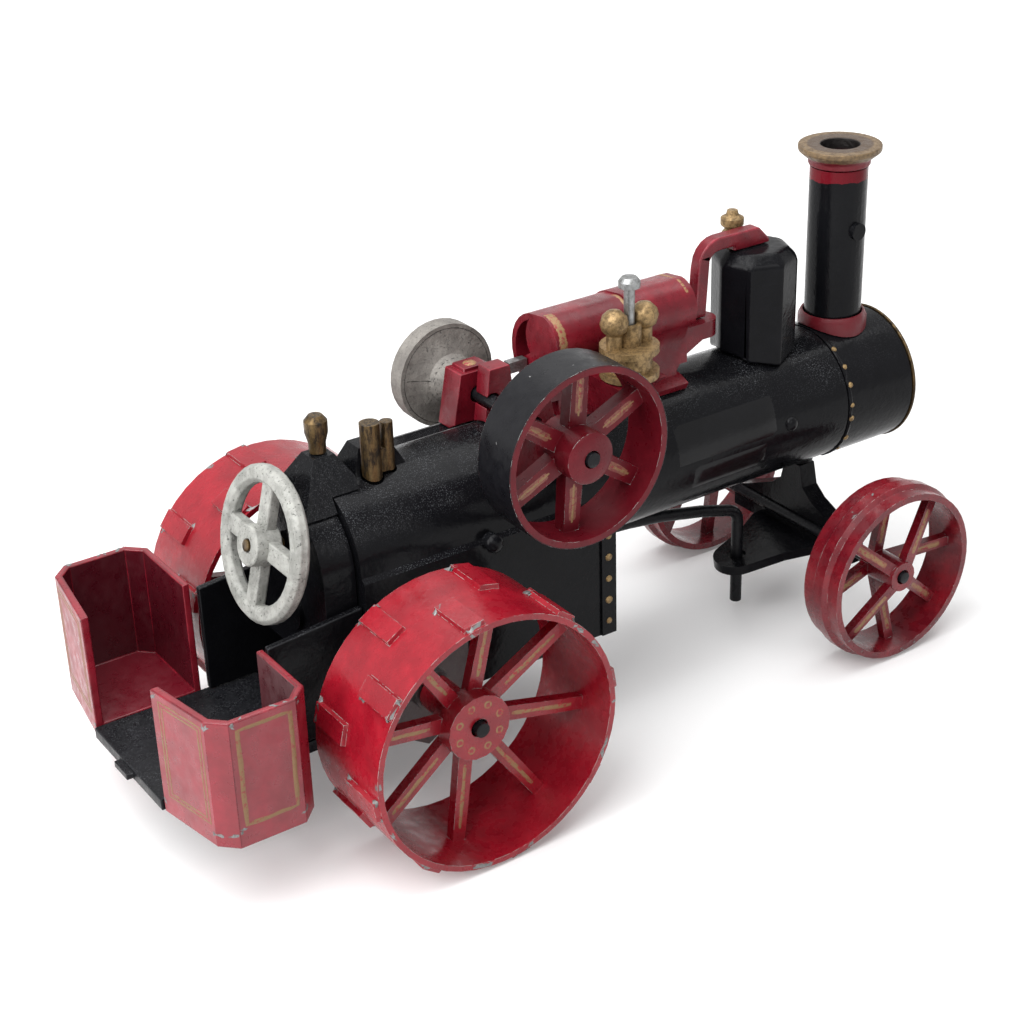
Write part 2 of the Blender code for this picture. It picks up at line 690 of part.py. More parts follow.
def axle_brackets(finish):
    """Rough cast hangers with a pointed foot, which hold the axle beside the firebox."""
    near = FIREBOX_SIDE + SEAT_GAP
    boss_end = REAR_INNER_FACE - RUNNING_GAP
    far = near + (boss_end - near) * HANGER_SHARE
    half = HANGER_LENGTH / 2
    top = REAR_AXLE_HEIGHT + HANGER_RISE
    low = FLOOR_TOP - SEAT_GAP
    outline = [(station(-half), low), (station(0), PLATFORM_BOTTOM - HANGER_DROP), (station(half), low),
               (station(half), top), (station(-half), top)]
    centre = Vector((station(0), 0, REAR_AXLE_HEIGHT))
    for side, label in ((1, "left"), (-1, "right")):
        bracket = prism(f"axle_bracket_{label}", outline, "xz", side * near, side * far, finish["black"])
        boss = turned(f"axle_boss_{label}", solid_profile(HANGER_BOSS_RADIUS, (near + far) / 2, boss_end),
                      AXES["y"] * side, centre, SMALL_STEPS, None)
        bore = turned(f"axle_bracket_bore_{label}",
                      solid_profile(REAR_AXLE_RADIUS + SEAT_GAP, near - CUT_OVERRUN, boss_end + CUT_OVERRUN),
                      AXES["y"] * side, centre, SMALL_STEPS, None)
        fuse(bracket, boss)
        cut(bracket, bore)


def firebox(finish):
    """Wagon-top firebox: round over the boiler's radius, flat sides and a flanged front edge."""
    side = FIREBOX_SIDE
    arch = arc_points(0, BOILER_HEIGHT, BOILER_RADIUS, 0, 180, ROUND_STEPS // 2)
    outline = [(side, FIREBOX_BOTTOM), (side, BOILER_HEIGHT - (side - BOILER_RADIUS)), *arch,
               (-side, BOILER_HEIGHT - (side - BOILER_RADIUS)), (-side, FIREBOX_BOTTOM)]
    body = prism("firebox", outline, "yz", station(FIREBOX_REAR), station(FIREBOX_FRONT), finish["black"])
    proud = side + FIREBOX_FLANGE_PROUD
    flange = block("firebox_flange", (station(FIREBOX_FRONT - FIREBOX_FLANGE_LENGTH), station(FIREBOX_FRONT)),
                   (-proud, proud), (FIREBOX_BOTTOM, BOILER_HEIGHT - BOILER_RADIUS / 2), None)
    boss_height = BOILER_HEIGHT - FIREBOX_BOSS_DROP
    bosses = [rod(f"firebox_boss_{label}", Vector((station(FIREBOX_BOSS_X), 0, boss_height)),
                  Vector((station(FIREBOX_BOSS_X), sign * (side + FIREBOX_BOSS_PROUD), boss_height)),
                  FIREBOX_BOSS_RADIUS, SMALL_STEPS, None) for sign, label in ((1, "left"), (-1, "right"))]
    fuse(body, flange, *bosses)
    axle = rod("firebox_axle_room", Vector((station(0), -side - CUT_OVERRUN, REAR_AXLE_HEIGHT)),
               Vector((station(0), side + CUT_OVERRUN, REAR_AXLE_HEIGHT)), REAR_AXLE_RADIUS + SEAT_GAP,
               SMALL_STEPS, None)
    cut(body, axle)
    foot_z = BOILER_HEIGHT + BOILER_RADIUS - CUT_OVERRUN
    collar = loft("valve_collar", [
        centred_rectangle(COLLAR_X, COLLAR_Y, COLLAR_FOOT_LENGTH, COLLAR_FOOT_WIDTH, foot_z),
        centred_rectangle(COLLAR_X, COLLAR_Y, COLLAR_TOP_LENGTH, COLLAR_TOP_WIDTH, BOILER_HEIGHT + COLLAR_RISE)], None)
    strip_middle = (BEARING_INNER + BEARING_OUTER) / 2
    strip_top = seat_height(strip_middle)
    strip = block("bearing_strip", (station(FIREBOX_FRONT - SEAT_STRIP_LENGTH), station(FIREBOX_FRONT)),
                  (strip_middle - SEAT_STRIP_WIDTH / 2, strip_middle + SEAT_STRIP_WIDTH / 2),
                  (BOILER_HEIGHT, strip_top), None)
    fuse(body, collar, strip)
    cut(body, valve_room("collar_valve_room"))


def valve_room(name):
    """The room beside the collar for the pair of valves, with the gap that they are seated with."""
    low = BOILER_HEIGHT + BOILER_RADIUS - CUT_OVERRUN
    place = Vector((station(VALVE_X), VALVE_Y, low))
    room = rod(name, place, place + AXES["z"] * VALVE_RISE, VALVE_RADIUS + SEAT_GAP, SMALL_STEPS, None)
    slim = Vector((station(SLIM_VALVE_X), SLIM_VALVE_Y, low))
    slim_room = rod(name + "_slim", slim, slim + AXES["z"] * VALVE_RISE, SLIM_VALVE_RADIUS + SEAT_GAP, SMALL_STEPS,
                    None)
    web_room = valve_web(name + "_web", SEAT_GAP, low)
    return fuse(room, slim_room, web_room)


def valve_web(name, gap, low):
    """The flat web that joins the thick valve to the slim one, larger all round by a gap."""
    half = SLIM_VALVE_RADIUS / 2 + gap
    middle = (VALVE_Y + SLIM_VALVE_Y) / 2
    return block(name, (station(VALVE_X), station(SLIM_VALVE_X)), (middle - half, middle + half),
                 (low, BOILER_HEIGHT + COLLAR_RISE + gap), None)


def seat_height(y):
    """Height of the flat seat that lies on the boiler's round shoulder at a distance y."""
    return BOILER_HEIGHT + math.sqrt(BOILER_RADIUS ** 2 - y ** 2) + SEAT_STRIP_HEIGHT


def backhead(finish):
    """The boiler's rear head with a fire door and the tapered mound that carries a control."""
    rear = station(BACKHEAD_REAR)
    front = station(BACKHEAD_FRONT)
    radius = BACKHEAD_RADIUS
    low = BOILER_HEIGHT - BACKHEAD_DROP
    outline = [(radius, low), *arc_points(0, BOILER_HEIGHT, radius, 0, 180, ROUND_STEPS // 2), (-radius, low)]
    body = prism("backhead", outline, "yz", rear, front, finish["black"])
    half = MOUND_WIDTH / 2
    half_top = MOUND_TOP_LENGTH / 2
    foot_z = BOILER_HEIGHT + radius - CUT_OVERRUN
    mound = loft("backhead_mound", [rectangle((rear, station(MOUND_X + MOUND_FRONT_LENGTH)), (-half, half), foot_z),
                                    centred_rectangle(MOUND_X, 0, MOUND_TOP_LENGTH, MOUND_TOP_LENGTH, MOUND_TOP)],
                 None)
    collar_edge = COLLAR_X - COLLAR_FOOT_LENGTH / 2 - SEAT_GAP
    ahead = block("mound_end", (station(collar_edge), station(collar_edge + MOUND_FRONT_LENGTH)),
                  (-MOUND_WIDTH, MOUND_WIDTH), (BOILER_HEIGHT, MOUND_TOP), None)
    cut(mound, boiler_room("mound_bed", station(FIREBOX_REAR - SEAT_GAP), station(BARREL_REAR)), ahead)
    column_start = handwheel_point(0)
    column_seat = handwheel_point((rear - column_start.x) / handwheel_axis().x)
    boss = turned("column_boss", solid_profile(COLUMN_RADIUS * 2, 0, COLUMN_RADIUS * 2), handwheel_axis(),
                  column_seat - handwheel_axis() * COLUMN_RADIUS, SMALL_STEPS, None)
    door_height = BOILER_HEIGHT - FIRE_DOOR_DROP
    door = rod("fire_door", Vector((rear - FIRE_DOOR_PROUD, 0, door_height)), Vector((front, 0, door_height)),
               FIRE_DOOR_RADIUS, SMALL_STEPS, None)
    fuse(body, mound, boss, door)


def boiler(finish):
    centre = Vector((0, 0, BOILER_HEIGHT))
    barrel = turned("boiler_barrel", solid_profile(BOILER_RADIUS, station(BARREL_REAR), station(BARREL_FRONT)),
                    AXES["x"], centre, BOILER_STEPS, finish["black"])
    hook = Vector((station(REACH_ROD_REAR), 0, BOILER_UNDERSIDE))
    hook_top = BOILER_UNDERSIDE + REACH_ROD_HOOK + RUNNING_GAP
    cut(barrel, rod("hook_room", hook - AXES["z"] * CUT_OVERRUN, Vector((hook.x, 0, hook_top)),
                    REACH_ROD_RADIUS + RUNNING_GAP, SMALL_STEPS, None))


def smokebox(finish):
    """Smokebox with a raised front ring and a recessed, domed door."""
    centre = Vector((0, 0, BOILER_HEIGHT))
    rear = station(BARREL_FRONT + SEAT_GAP)
    front = station(SMOKEBOX_FRONT)
    bore = SMOKEBOX_RADIUS - SMOKEBOX_WALL
    recess = front - SMOKEBOX_RECESS
    profile = [(0, rear), (SMOKEBOX_RADIUS, rear), (SMOKEBOX_RADIUS, front), (bore, front), (bore, recess),
               (0, recess)]
    turned("smokebox", profile, AXES["x"], centre, BOILER_STEPS, finish["black"])
    ring_outer = SMOKEBOX_RADIUS + FRONT_RING_BEAD
    turned("smokebox_ring", ring_profile(bore, ring_outer, front + SEAT_GAP, front + FRONT_RING_LENGTH),
           AXES["x"], centre, BOILER_STEPS, finish["bronze"])
    door_radius = bore - SEAT_GAP
    inner_share = 0.6
    high_share = 0.8
    door_back = recess + SEAT_GAP
    dome_top = door_back + DOOR_DOME
    boss_end = dome_top + DOOR_BOSS_LENGTH
    door_profile = [(0, door_back), (door_radius, door_back), (door_radius, door_back + DOOR_DOME / 3),
                    (door_radius * inner_share, door_back + DOOR_DOME * high_share), (DOOR_BOSS_RADIUS, dome_top),
                    (DOOR_BOSS_RADIUS, boss_end), (0, boss_end)]
    turned("smokebox_door", door_profile, AXES["x"], centre, ROUND_STEPS, finish["black"])


def chimney(finish):
    """Straight stack with a side boss, a flared bronze cap and a red ring round its foot."""
    place = Vector((station(CHIMNEY_X), 0, 0))
    bore_floor = CHIMNEY_TOP - CHIMNEY_BORE_DEPTH
    profile = [(0, BOILER_HEIGHT), (CHIMNEY_RADIUS, BOILER_HEIGHT), (CHIMNEY_RADIUS, CHIMNEY_TOP),
               (CHIMNEY_BORE_RADIUS, CHIMNEY_TOP), (CHIMNEY_BORE_RADIUS, bore_floor), (0, bore_floor)]
    stack = turned("chimney", profile, AXES["z"], place, ROUND_STEPS, finish["black"])
    boss_centre = place + AXES["z"] * (CHIMNEY_TOP - CHIMNEY_BOSS_DROP)
    boss = rod("chimney_boss", boss_centre - AXES["y"] * (CHIMNEY_RADIUS - CHIMNEY_BOSS_PROUD),
               boss_centre - AXES["y"] * (CHIMNEY_RADIUS + CHIMNEY_BOSS_PROUD), CHIMNEY_BOSS_RADIUS, SMALL_STEPS,
               None)
    fuse(stack, boss)
    smoke = (station(BARREL_FRONT), station(SMOKEBOX_FRONT))
    cut(stack, smokebox_room("chimney_seat", *smoke))
    cap_low = CHIMNEY_TOP + SEAT_GAP
    cap_top = CHIMNEY_TOP + CAP_HEIGHT
    neck = CHIMNEY_RADIUS + CAP_NECK
    cap_profile = [(CHIMNEY_BORE_RADIUS, cap_low), (neck, cap_low), (neck, cap_low + CAP_LIP),
                   (CAP_RADIUS, cap_top - CAP_LIP), (CAP_RADIUS, cap_top), (CHIMNEY_BORE_RADIUS, cap_top)]
    turned("chimney_cap", cap_profile, AXES["z"], place, ROUND_STEPS, finish["bronze"])
    inner = CHIMNEY_RADIUS + SEAT_GAP
    outer = inner + BASE_RING_WIDTH
    ring_top = BOILER_HEIGHT + BASE_RING_RISE
    ring_profile_points = [(inner, BOILER_HEIGHT), (outer, BOILER_HEIGHT), (outer, ring_top - CAP_LIP),
                           (inner + CAP_NECK, ring_top), (inner, ring_top)]
    ring = turned("chimney_base_ring", ring_profile_points, AXES["z"], place, ROUND_STEPS, finish["wine"])
    cut(ring, smokebox_room("base_ring_seat", *smoke))


def dome(finish):
    """Eight-sided steam dome with a chamfered top, and the bronze safety valve on it."""
    place = Vector((station(DOME_X), 0, 0))
    chamfer_radius = DOME_RADIUS - DOME_CHAMFER
    profile = [(0, BOILER_HEIGHT), (DOME_RADIUS, BOILER_HEIGHT), (DOME_RADIUS, DOME_TOP - DOME_CHAMFER),
               (chamfer_radius, DOME_TOP), (0, DOME_TOP)]
    body = turned("steam_dome", profile, AXES["z"], place, DOME_SIDES, finish["black"])
    cut(body, smokebox_room("dome_seat", station(BARREL_REAR), station(SMOKEBOX_FRONT)))
    valve_place = Vector((station(SAFETY_VALVE_X), SAFETY_VALVE_Y, DOME_TOP + SEAT_GAP))
    height = SAFETY_VALVE_HEIGHT
    radius = SAFETY_VALVE_RADIUS
    shares = ((0.9, 0.0), (0.9, 0.25), (0.6, 0.38), (1.0, 0.52), (1.0, 0.75), (0.55, 0.85), (0.45, 1.0))
    valve_profile = [(0, 0), *[(radius * wide, height * tall) for wide, tall in shares], (0, height)]
    turned("safety_valve", valve_profile, AXES["z"], valve_place, SMALL_STEPS, finish["bronze"])


def steam_pipe(finish):
    """Flat-sided cast pipe, up from the cylinder shelf and over to the dome's top."""
    half = PIPE_SIZE / 2
    landing = DOME_TOP + SEAT_GAP
    top = PIPE_HEIGHT + half
    corners = [Vector((station(PIPE_X), 0, SHELF_TOP + SEAT_GAP)),
               Vector((station(PIPE_X + PIPE_LEAN), 0, PIPE_HEIGHT)),
               Vector((station(PIPE_LANDING_X + half), 0, PIPE_HEIGHT))]
    section = [(-half, -half), (half, -half), (half, half), (-half, half)]
    pipe = sweep("steam_pipe", rounded_path(corners, PIPE_BEND), section, finish["wine"])
    nose_outline = [(station(PIPE_LANDING_X), landing), (station(PIPE_NOSE_X + PIPE_NOSE_SLOPE), landing),
                    (station(PIPE_NOSE_X + PIPE_NOSE_SLOPE), landing + PIPE_SIZE / 4), (station(PIPE_NOSE_X), top),
                    (station(PIPE_LANDING_X), top)]
    nose = prism("pipe_nose", nose_outline, "xz", -half, half, None)
    fuse(pipe, nose)


def cylinder_outline(swell):
    """The casting's section: a wide round body on the left and a smaller lobe up on the right."""
    waist = SADDLE_WAIST / 2
    body_radius = CYLINDER_RADIUS + swell
    lobe_radius = LOBE_RADIUS + swell
    bottom = CYLINDER_HEIGHT - body_radius
    crease = LOBE_HEIGHT - lobe_radius * 0.85
    return [*arc_points(0, CYLINDER_HEIGHT, body_radius, -90, 75, FINE_STEPS),
            *arc_points(LOBE_Y, LOBE_HEIGHT, lobe_radius, 95, 215, FINE_STEPS), (-waist, crease), (-waist, bottom)]


def shell_outline():
    """The crescent that is open at the casting's rear, between its left wall and the lobe."""
    inner = CYLINDER_RADIUS - SHELL_WALL
    return [*arc_points(0, CYLINDER_HEIGHT, inner, -25, 68, FINE_STEPS),
            *arc_points(LOBE_Y, LOBE_HEIGHT, LOBE_RADIUS, 42, -42, FINE_STEPS)]


def cylinder_block(finish):
    """The cylinder casting, its valve chest, saddle, pipe shelf and governor bracket in one."""
    body = prism("cylinder_block", cylinder_outline(0), "yz", station(CYLINDER_REAR),
                 station(CYLINDER_MIDDLE + CUT_OVERRUN), finish["wine"])
    front_half = prism("cylinder_front_half", cylinder_outline(FRONT_SWELL), "yz", station(CYLINDER_MIDDLE),
                       station(CYLINDER_FRONT), None)
    chest_shares = ((0, 0.51), (-0.62, 0.44), (-0.95, 0.18), (-1.05, -0.11), (-0.98, -0.36), (-0.73, -0.69),
                    (-0.47, -1.35), (0, -1.35))
    chest = prism("valve_chest", [(LOBE_Y + LOBE_RADIUS * across, LOBE_HEIGHT + LOBE_RADIUS * up)
                                  for across, up in chest_shares],
                  "yz", station(CHEST_REAR), station(CHEST_FRONT), None)
    waist = SADDLE_WAIST / 2
    foot = SADDLE_FOOT / 2
    crown = BOILER_HEIGHT + BOILER_RADIUS
    saddle_outline = [(-foot, BOILER_HEIGHT), (foot, BOILER_HEIGHT), (foot, crown - SADDLE_FLANGE_THICKNESS),
                      (waist, crown + SADDLE_FLANGE_THICKNESS), (waist, CYLINDER_HEIGHT), (-waist, CYLINDER_HEIGHT),
                      (-waist, crown + SADDLE_FLANGE_THICKNESS), (-foot, crown - SADDLE_FLANGE_THICKNESS)]
    saddle = prism("saddle", saddle_outline, "yz", station(SADDLE_REAR), station(SADDLE_FRONT), None)
    flange_outer = BOILER_RADIUS + SEAT_GAP + SADDLE_FLANGE_THICKNESS
    spread = SADDLE_FLANGE_HALF_ANGLE
    flange_outline = [*arc_points(0, BOILER_HEIGHT, flange_outer, 90 - spread, 90 + spread, FINE_STEPS),
                      (0, BOILER_HEIGHT)]
    flange = prism("saddle_flange", flange_outline, "yz", station(SADDLE_FLANGE_REAR),
                   station(SADDLE_FRONT + SADDLE_FLANGE_THICKNESS / 2), None)
    half_shelf = SHELF_WIDTH / 2
    tip = SHELF_FRONT - half_shelf
    inside = station(SADDLE_FRONT - CUT_OVERRUN)
    shelf_outline = [(inside, -half_shelf),
                     *[(station(tip) + a, b) for a, b in arc_points(0, 0, half_shelf, -90, 90, FINE_STEPS)],
                     (inside, half_shelf)]
    shelf = prism("pipe_shelf", shelf_outline, "xy", SHELF_TOP - SHELF_THICKNESS, SHELF_TOP, None)
    under = SHELF_TOP - SHELF_THICKNESS
    gusset_outline = [(inside, crown), (station(SADDLE_FRONT), crown),
                      (station(SADDLE_FRONT + SHELF_GUSSET_DROP), under - SHELF_GUSSET_DROP),
                      (station(tip), under + SHELF_THICKNESS / 4), (inside, under + SHELF_THICKNESS / 4)]
    gusset = prism("shelf_gusset", gusset_outline, "xz", -half_shelf, half_shelf, None)
    fuse(body, front_half, chest, saddle, flange, shelf, gusset, governor_bracket())
    shell = prism("cylinder_shell_room", shell_outline(), "yz", station(CYLINDER_REAR - CUT_OVERRUN),
                  station(CYLINDER_REAR + SHELL_DEPTH), None)
    cut(body, shell, boiler_room("saddle_bed", station(FIREBOX_REAR), station(BARREL_FRONT)))


def governor_bracket():
    """A flared foot on the saddle's near side, with a flat top for the governor."""
    half = GOVERNOR_BRACKET_LENGTH / 2
    foot = GOVERNOR_BRACKET_FOOT / 2
    near = GOVERNOR_Y - GOVERNOR_NECK_RADIUS
    wall = -SADDLE_WAIST / 2 + CUT_OVERRUN
    low_z = BRACKET_TOP - GOVERNOR_BRACKET_DEPTH
    top = rectangle((station(GOVERNOR_X - half), station(GOVERNOR_X + half)), (near, wall), BRACKET_TOP)
    low = rectangle((station(GOVERNOR_X - foot), station(GOVERNOR_X + foot)), (-SADDLE_FOOT / 2 - CUT_OVERRUN, wall),
                    low_z)
    return loft("governor_bracket", [low, top], None)


def governor(finish):
    """Two discs, a hub and two balls on short arms, held down by a steel screw."""
    base = BRACKET_TOP + SEAT_GAP
    place = Vector((station(GOVERNOR_X), GOVERNOR_Y, base))
    disc = GOVERNOR_DISC_THICKNESS
    neck_top = disc + GOVERNOR_NECK_HEIGHT
    upper_top = neck_top + disc
    hub_top = upper_top + GOVERNOR_HUB_HEIGHT
    profile = [(0, 0), (GOVERNOR_DISC_RADIUS, 0), (GOVERNOR_DISC_RADIUS, disc),
               (GOVERNOR_NECK_RADIUS, disc), (GOVERNOR_NECK_RADIUS, neck_top), (GOVERNOR_DISC_RADIUS, neck_top),
               (GOVERNOR_DISC_RADIUS, upper_top), (GOVERNOR_HUB_RADIUS, upper_top),
               (GOVERNOR_HUB_RADIUS, hub_top), (0, hub_top)]
    body = turned("governor", profile, AXES["z"], place, FINE_STEPS * 2, finish["bronze"])
    post_share = 0.55
    balls = []
    for sign, label in ((1, "front"), (-1, "rear")):
        foot = place + AXES["x"] * sign * GOVERNOR_BALL_SPREAD + AXES["z"] * (upper_top - disc / 2)
        centre = foot + AXES["z"] * (GOVERNOR_BALL_RISE + disc / 2)
        post = rod(f"ball_post_{label}", foot, centre, GOVERNOR_BALL_RADIUS * post_share, FINE_STEPS, None)
        balls += [post, turned(f"ball_{label}", ball_profile(GOVERNOR_BALL_RADIUS), AXES["z"], centre, FINE_STEPS,
                               None)]
    fuse(body, *balls)
    room = rod("screw_room", place - AXES["z"] * CUT_OVERRUN, place + AXES["z"] * (hub_top + CUT_OVERRUN),
               GOVERNOR_BORE, SMALL_STEPS, None)
    cut(body, room)
    head_low = hub_top + SCREW_HEAD_RISE - SCREW_HEAD_HEIGHT
    head_shares = ((1, 0), (1, 0.6), (0.7, 1), (0, 1))
    head = [(SCREW_HEAD_RADIUS * wide, head_low + SCREW_HEAD_HEIGHT * tall) for wide, tall in head_shares]
    turned("governor_screw", [(0, 0), (SCREW_RADIUS, 0), (SCREW_RADIUS, head_low), *head], AXES["z"], place,
           SMALL_STEPS, finish["steel"])


def ball_profile(radius):
    half_steps = FINE_STEPS // 2
    middle = [(radius * math.sin(math.pi * step / half_steps), -radius * math.cos(math.pi * step / half_steps))
              for step in range(1, half_steps)]
    return [(0, -radius), *middle, (0, radius)]


def trapezoid(centre, base_length, top_length, bottom, top):
    return [(station(centre - base_length / 2), bottom), (station(centre + base_length / 2), bottom),
            (station(centre + top_length / 2), top), (station(centre - top_length / 2), top)]


def bearings(finish):
    """Tapered bearing blocks astride the boiler's shoulders, with a small cap pad on top."""
    shaft_room = CRANK_RADIUS + RUNNING_GAP
    for side, label in ((1, "left"), (-1, "right")):
        outline = trapezoid(CRANK_X, BEARING_BASE_LENGTH, BEARING_TOP_LENGTH, BOILER_HEIGHT, BEARING_TOP)
        body = prism(f"bearing_{label}", outline, "xz", side * BEARING_INNER, side * BEARING_OUTER, finish["wine"])
        half_cap = BEARING_CAP_LENGTH / 2
        inset = BEARING_CAP_HEIGHT
        cap = block(f"bearing_cap_{label}", (station(CRANK_X - half_cap), station(CRANK_X + half_cap)),
                    (side * (BEARING_INNER + inset), side * (BEARING_OUTER - inset)),
                    (BEARING_TOP - inset, BEARING_TOP + BEARING_CAP_HEIGHT), None)
        fuse(body, cap)
        room = rod(f"bearing_room_{label}", Vector((station(CRANK_X), 0, CRANK_HEIGHT)),
                   Vector((station(CRANK_X), side * (BEARING_OUTER + CUT_OVERRUN), CRANK_HEIGHT)), shaft_room,
                   SMALL_STEPS, None)
        cut(body, room, bearing_bed(f"bearing_bed_{label}", side))


def bearing_bed(name, side):
    """What a bearing sits on: the boiler's round shoulder, and on the left its flat strip."""
    reach = BEARING_BASE_LENGTH / 2 + CUT_OVERRUN
    bed = boiler_room(name, station(CRANK_X) - reach, station(CRANK_X) + reach)
    if side > 0:
        middle = (BEARING_INNER + BEARING_OUTER) / 2
        half = SEAT_STRIP_WIDTH / 2 + SEAT_GAP
        strip = block(name + "_strip", (station(CRANK_X) - reach - CUT_OVERRUN, station(CRANK_X) + reach + CUT_OVERRUN),
                      (middle - half, middle + half), (BOILER_HEIGHT - CUT_OVERRUN, seat_height(middle) + SEAT_GAP),
                      None)
        fuse(bed, strip)
    return bed


def crosshead_guide(finish):
    """The middle block on the boiler's crown and the steel bar from it to the cylinders."""
    outline = trapezoid(GUIDE_X, GUIDE_BASE_LENGTH, GUIDE_TOP_LENGTH, BOILER_HEIGHT, GUIDE_TOP)
    body = prism("crosshead_guide", outline, "xz", GUIDE_INNER, GUIDE_OUTER, finish["wine"])
    reach = GUIDE_BASE_LENGTH / 2 + CUT_OVERRUN
    bed = boiler_room("guide_bed", station(GUIDE_X) - reach, station(GUIDE_X) + reach)
    room = rod("guide_room", Vector((station(CRANK_X), GUIDE_INNER - CUT_OVERRUN, CRANK_HEIGHT)),
               Vector((station(CRANK_X), GUIDE_OUTER + CUT_OVERRUN, CRANK_HEIGHT)), CRANK_RADIUS + RUNNING_GAP,
               SMALL_STEPS, None)
    cut(body, bed, room)
    bar_y = (GUIDE_INNER + GUIDE_OUTER) / 2
    bar_top = GUIDE_TOP - SEAT_GAP
    taper = (GUIDE_BASE_LENGTH - GUIDE_TOP_LENGTH) / 2
    bar_drop = SLIDE_BAR_HEIGHT + SEAT_GAP
    bar_rear = GUIDE_X + GUIDE_TOP_LENGTH / 2 + taper * bar_drop / (GUIDE_TOP - BOILER_HEIGHT) + SEAT_GAP
    block("slide_bar", (station(bar_rear), station(CYLINDER_REAR - SEAT_GAP)),
          (bar_y - SLIDE_BAR_WIDTH / 2, bar_y + SLIDE_BAR_WIDTH / 2), (bar_top - SLIDE_BAR_HEIGHT, bar_top),
          finish["steel"])


def crankshaft(finish):
    """Shaft, six-spoked flywheel on the right and domed disc on the left, turning as one."""
    centre = Vector((station(CRANK_X), 0, CRANK_HEIGHT))
    disc_outer = DISC_INNER_Y + DISC_THICKNESS
    shaft_left = DISC_INNER_Y - SEAT_GAP
    shaft_right = FLYWHEEL_FACE + FLYWHEEL_NOSE_LENGTH + CRANK_PROUD
    shaft = rod("crankshaft", centre + AXES["y"] * shaft_left, centre - AXES["y"] * shaft_right, CRANK_RADIUS,
                SMALL_STEPS, finish["black"])
    put_origin(shaft, centre)
    outward = -AXES["y"]
    rim_back = FLYWHEEL_FACE - FLYWHEEL_WIDTH
    rim_inner = FLYWHEEL_RADIUS - FLYWHEEL_RIM_THICKNESS
    wheel = turned("flywheel", ring_profile(rim_inner, FLYWHEEL_RADIUS, rim_back, FLYWHEEL_FACE), outward, centre,
                   WHEEL_STEPS, finish["wine"])
    bore = CRANK_RADIUS + SEAT_GAP
    spoke_face = FLYWHEEL_FACE - FLYWHEEL_SPOKE_SETBACK
    spoke_back = spoke_face - FLYWHEEL_SPOKE_DEPTH
    nose_end = FLYWHEEL_FACE + FLYWHEEL_NOSE_LENGTH
    hub_profile = [(bore, rim_back), (FLYWHEEL_HUB_RADIUS, rim_back), (FLYWHEEL_HUB_RADIUS, FLYWHEEL_FACE),
                   (FLYWHEEL_NOSE_RADIUS, nose_end), (bore, nose_end)]
    hub = turned("flywheel_hub", hub_profile, outward, centre, ROUND_STEPS, None)
    faces = (-spoke_face, -spoke_back)
    ends = (FLYWHEEL_HUB_RADIUS - CRANK_RADIUS / 2, FLYWHEEL_RADIUS - FLYWHEEL_RIM_THICKNESS / 2)
    spokes = [spoke(f"flywheel_spoke_{index}", centre, ends, (faces, faces), FLYWHEEL_SPOKE_WIDTH,
                    math.radians(FLYWHEEL_PHASE) + math.tau * index / FLYWHEEL_SPOKES)
              for index in range(FLYWHEEL_SPOKES)]
    fuse(wheel, hub, *spokes)
    put_origin(wheel, centre)
    nose_start = BEARING_OUTER + RUNNING_GAP
    cone_start = DISC_INNER_Y - DISC_CONE_DEPTH
    disc_profile = [(0, shaft_left + SEAT_GAP), (bore, shaft_left + SEAT_GAP), (bore, nose_start),
                    (DISC_NOSE_RADIUS, nose_start), (DISC_NECK_RADIUS, cone_start), (DISC_CONE_RADIUS, DISC_INNER_Y),
                    (DISC_RADIUS, DISC_INNER_Y), (DISC_RADIUS, disc_outer), (0, disc_outer)]
    disc = turned("clutch_disc", disc_profile, AXES["y"], centre, ROUND_STEPS, finish["grey"])
    put_origin(disc, centre)


def platform(finish):
    half = PLATFORM_WIDTH / 2
    low = PLATFORM_BOTTOM
    floor = block("platform_floor", (station(PLATFORM_REAR), station(FIREBOX_REAR - SEAT_GAP)), (-half, half),
                  (low, FLOOR_TOP), finish["black"])
    half_stub = HITCH_STUB_WIDTH / 2
    stub = block("hitch_stub", (station(PLATFORM_REAR - HITCH_STUB_LENGTH), station(PLATFORM_REAR + CUT_OVERRUN)),
                 (-half_stub, half_stub), (low + PLATFORM_THICKNESS / 4, FLOOR_TOP - PLATFORM_THICKNESS / 4), None)
    fuse(floor, stub)
    front = station(FIREBOX_REAR - SEAT_GAP)
    bottom = FLOOR_TOP + SEAT_GAP
    outline = [(station(FRAME_REAR), bottom), (front, bottom), (front, FLOOR_TOP + FRAME_HEIGHT_FRONT),
               (station(FRAME_REAR), FLOOR_TOP + FRAME_HEIGHT_REAR)]
    for side, label in ((1, "left"), (-1, "right")):
        prism(f"side_frame_{label}", outline, "xz", side * half, side * (half - FRAME_THICKNESS), finish["black"])


def bunker_outline(side, reach, inset, overrun):
    """A bin seen from above: a swept rear wall, two cut corners and the inner side left open."""
    inner = PLATFORM_WIDTH / 2 + SEAT_GAP - overrun
    outer = reach - inset
    rear = station(BUNKER_REAR) + inset
    front = station(BUNKER_FRONT) - inset
    swept = rear + BUNKER_SWEEP
    lean = inset / 2
    return [(rear, side * inner), (swept, side * (outer - BUNKER_CORNER_REAR + lean)),
            (swept + BUNKER_CORNER_REAR - lean, side * outer), (front - BUNKER_CORNER_FRONT + lean, side * outer),
            (front, side * (outer - BUNKER_CORNER_FRONT + lean)), (front, side * inner)]


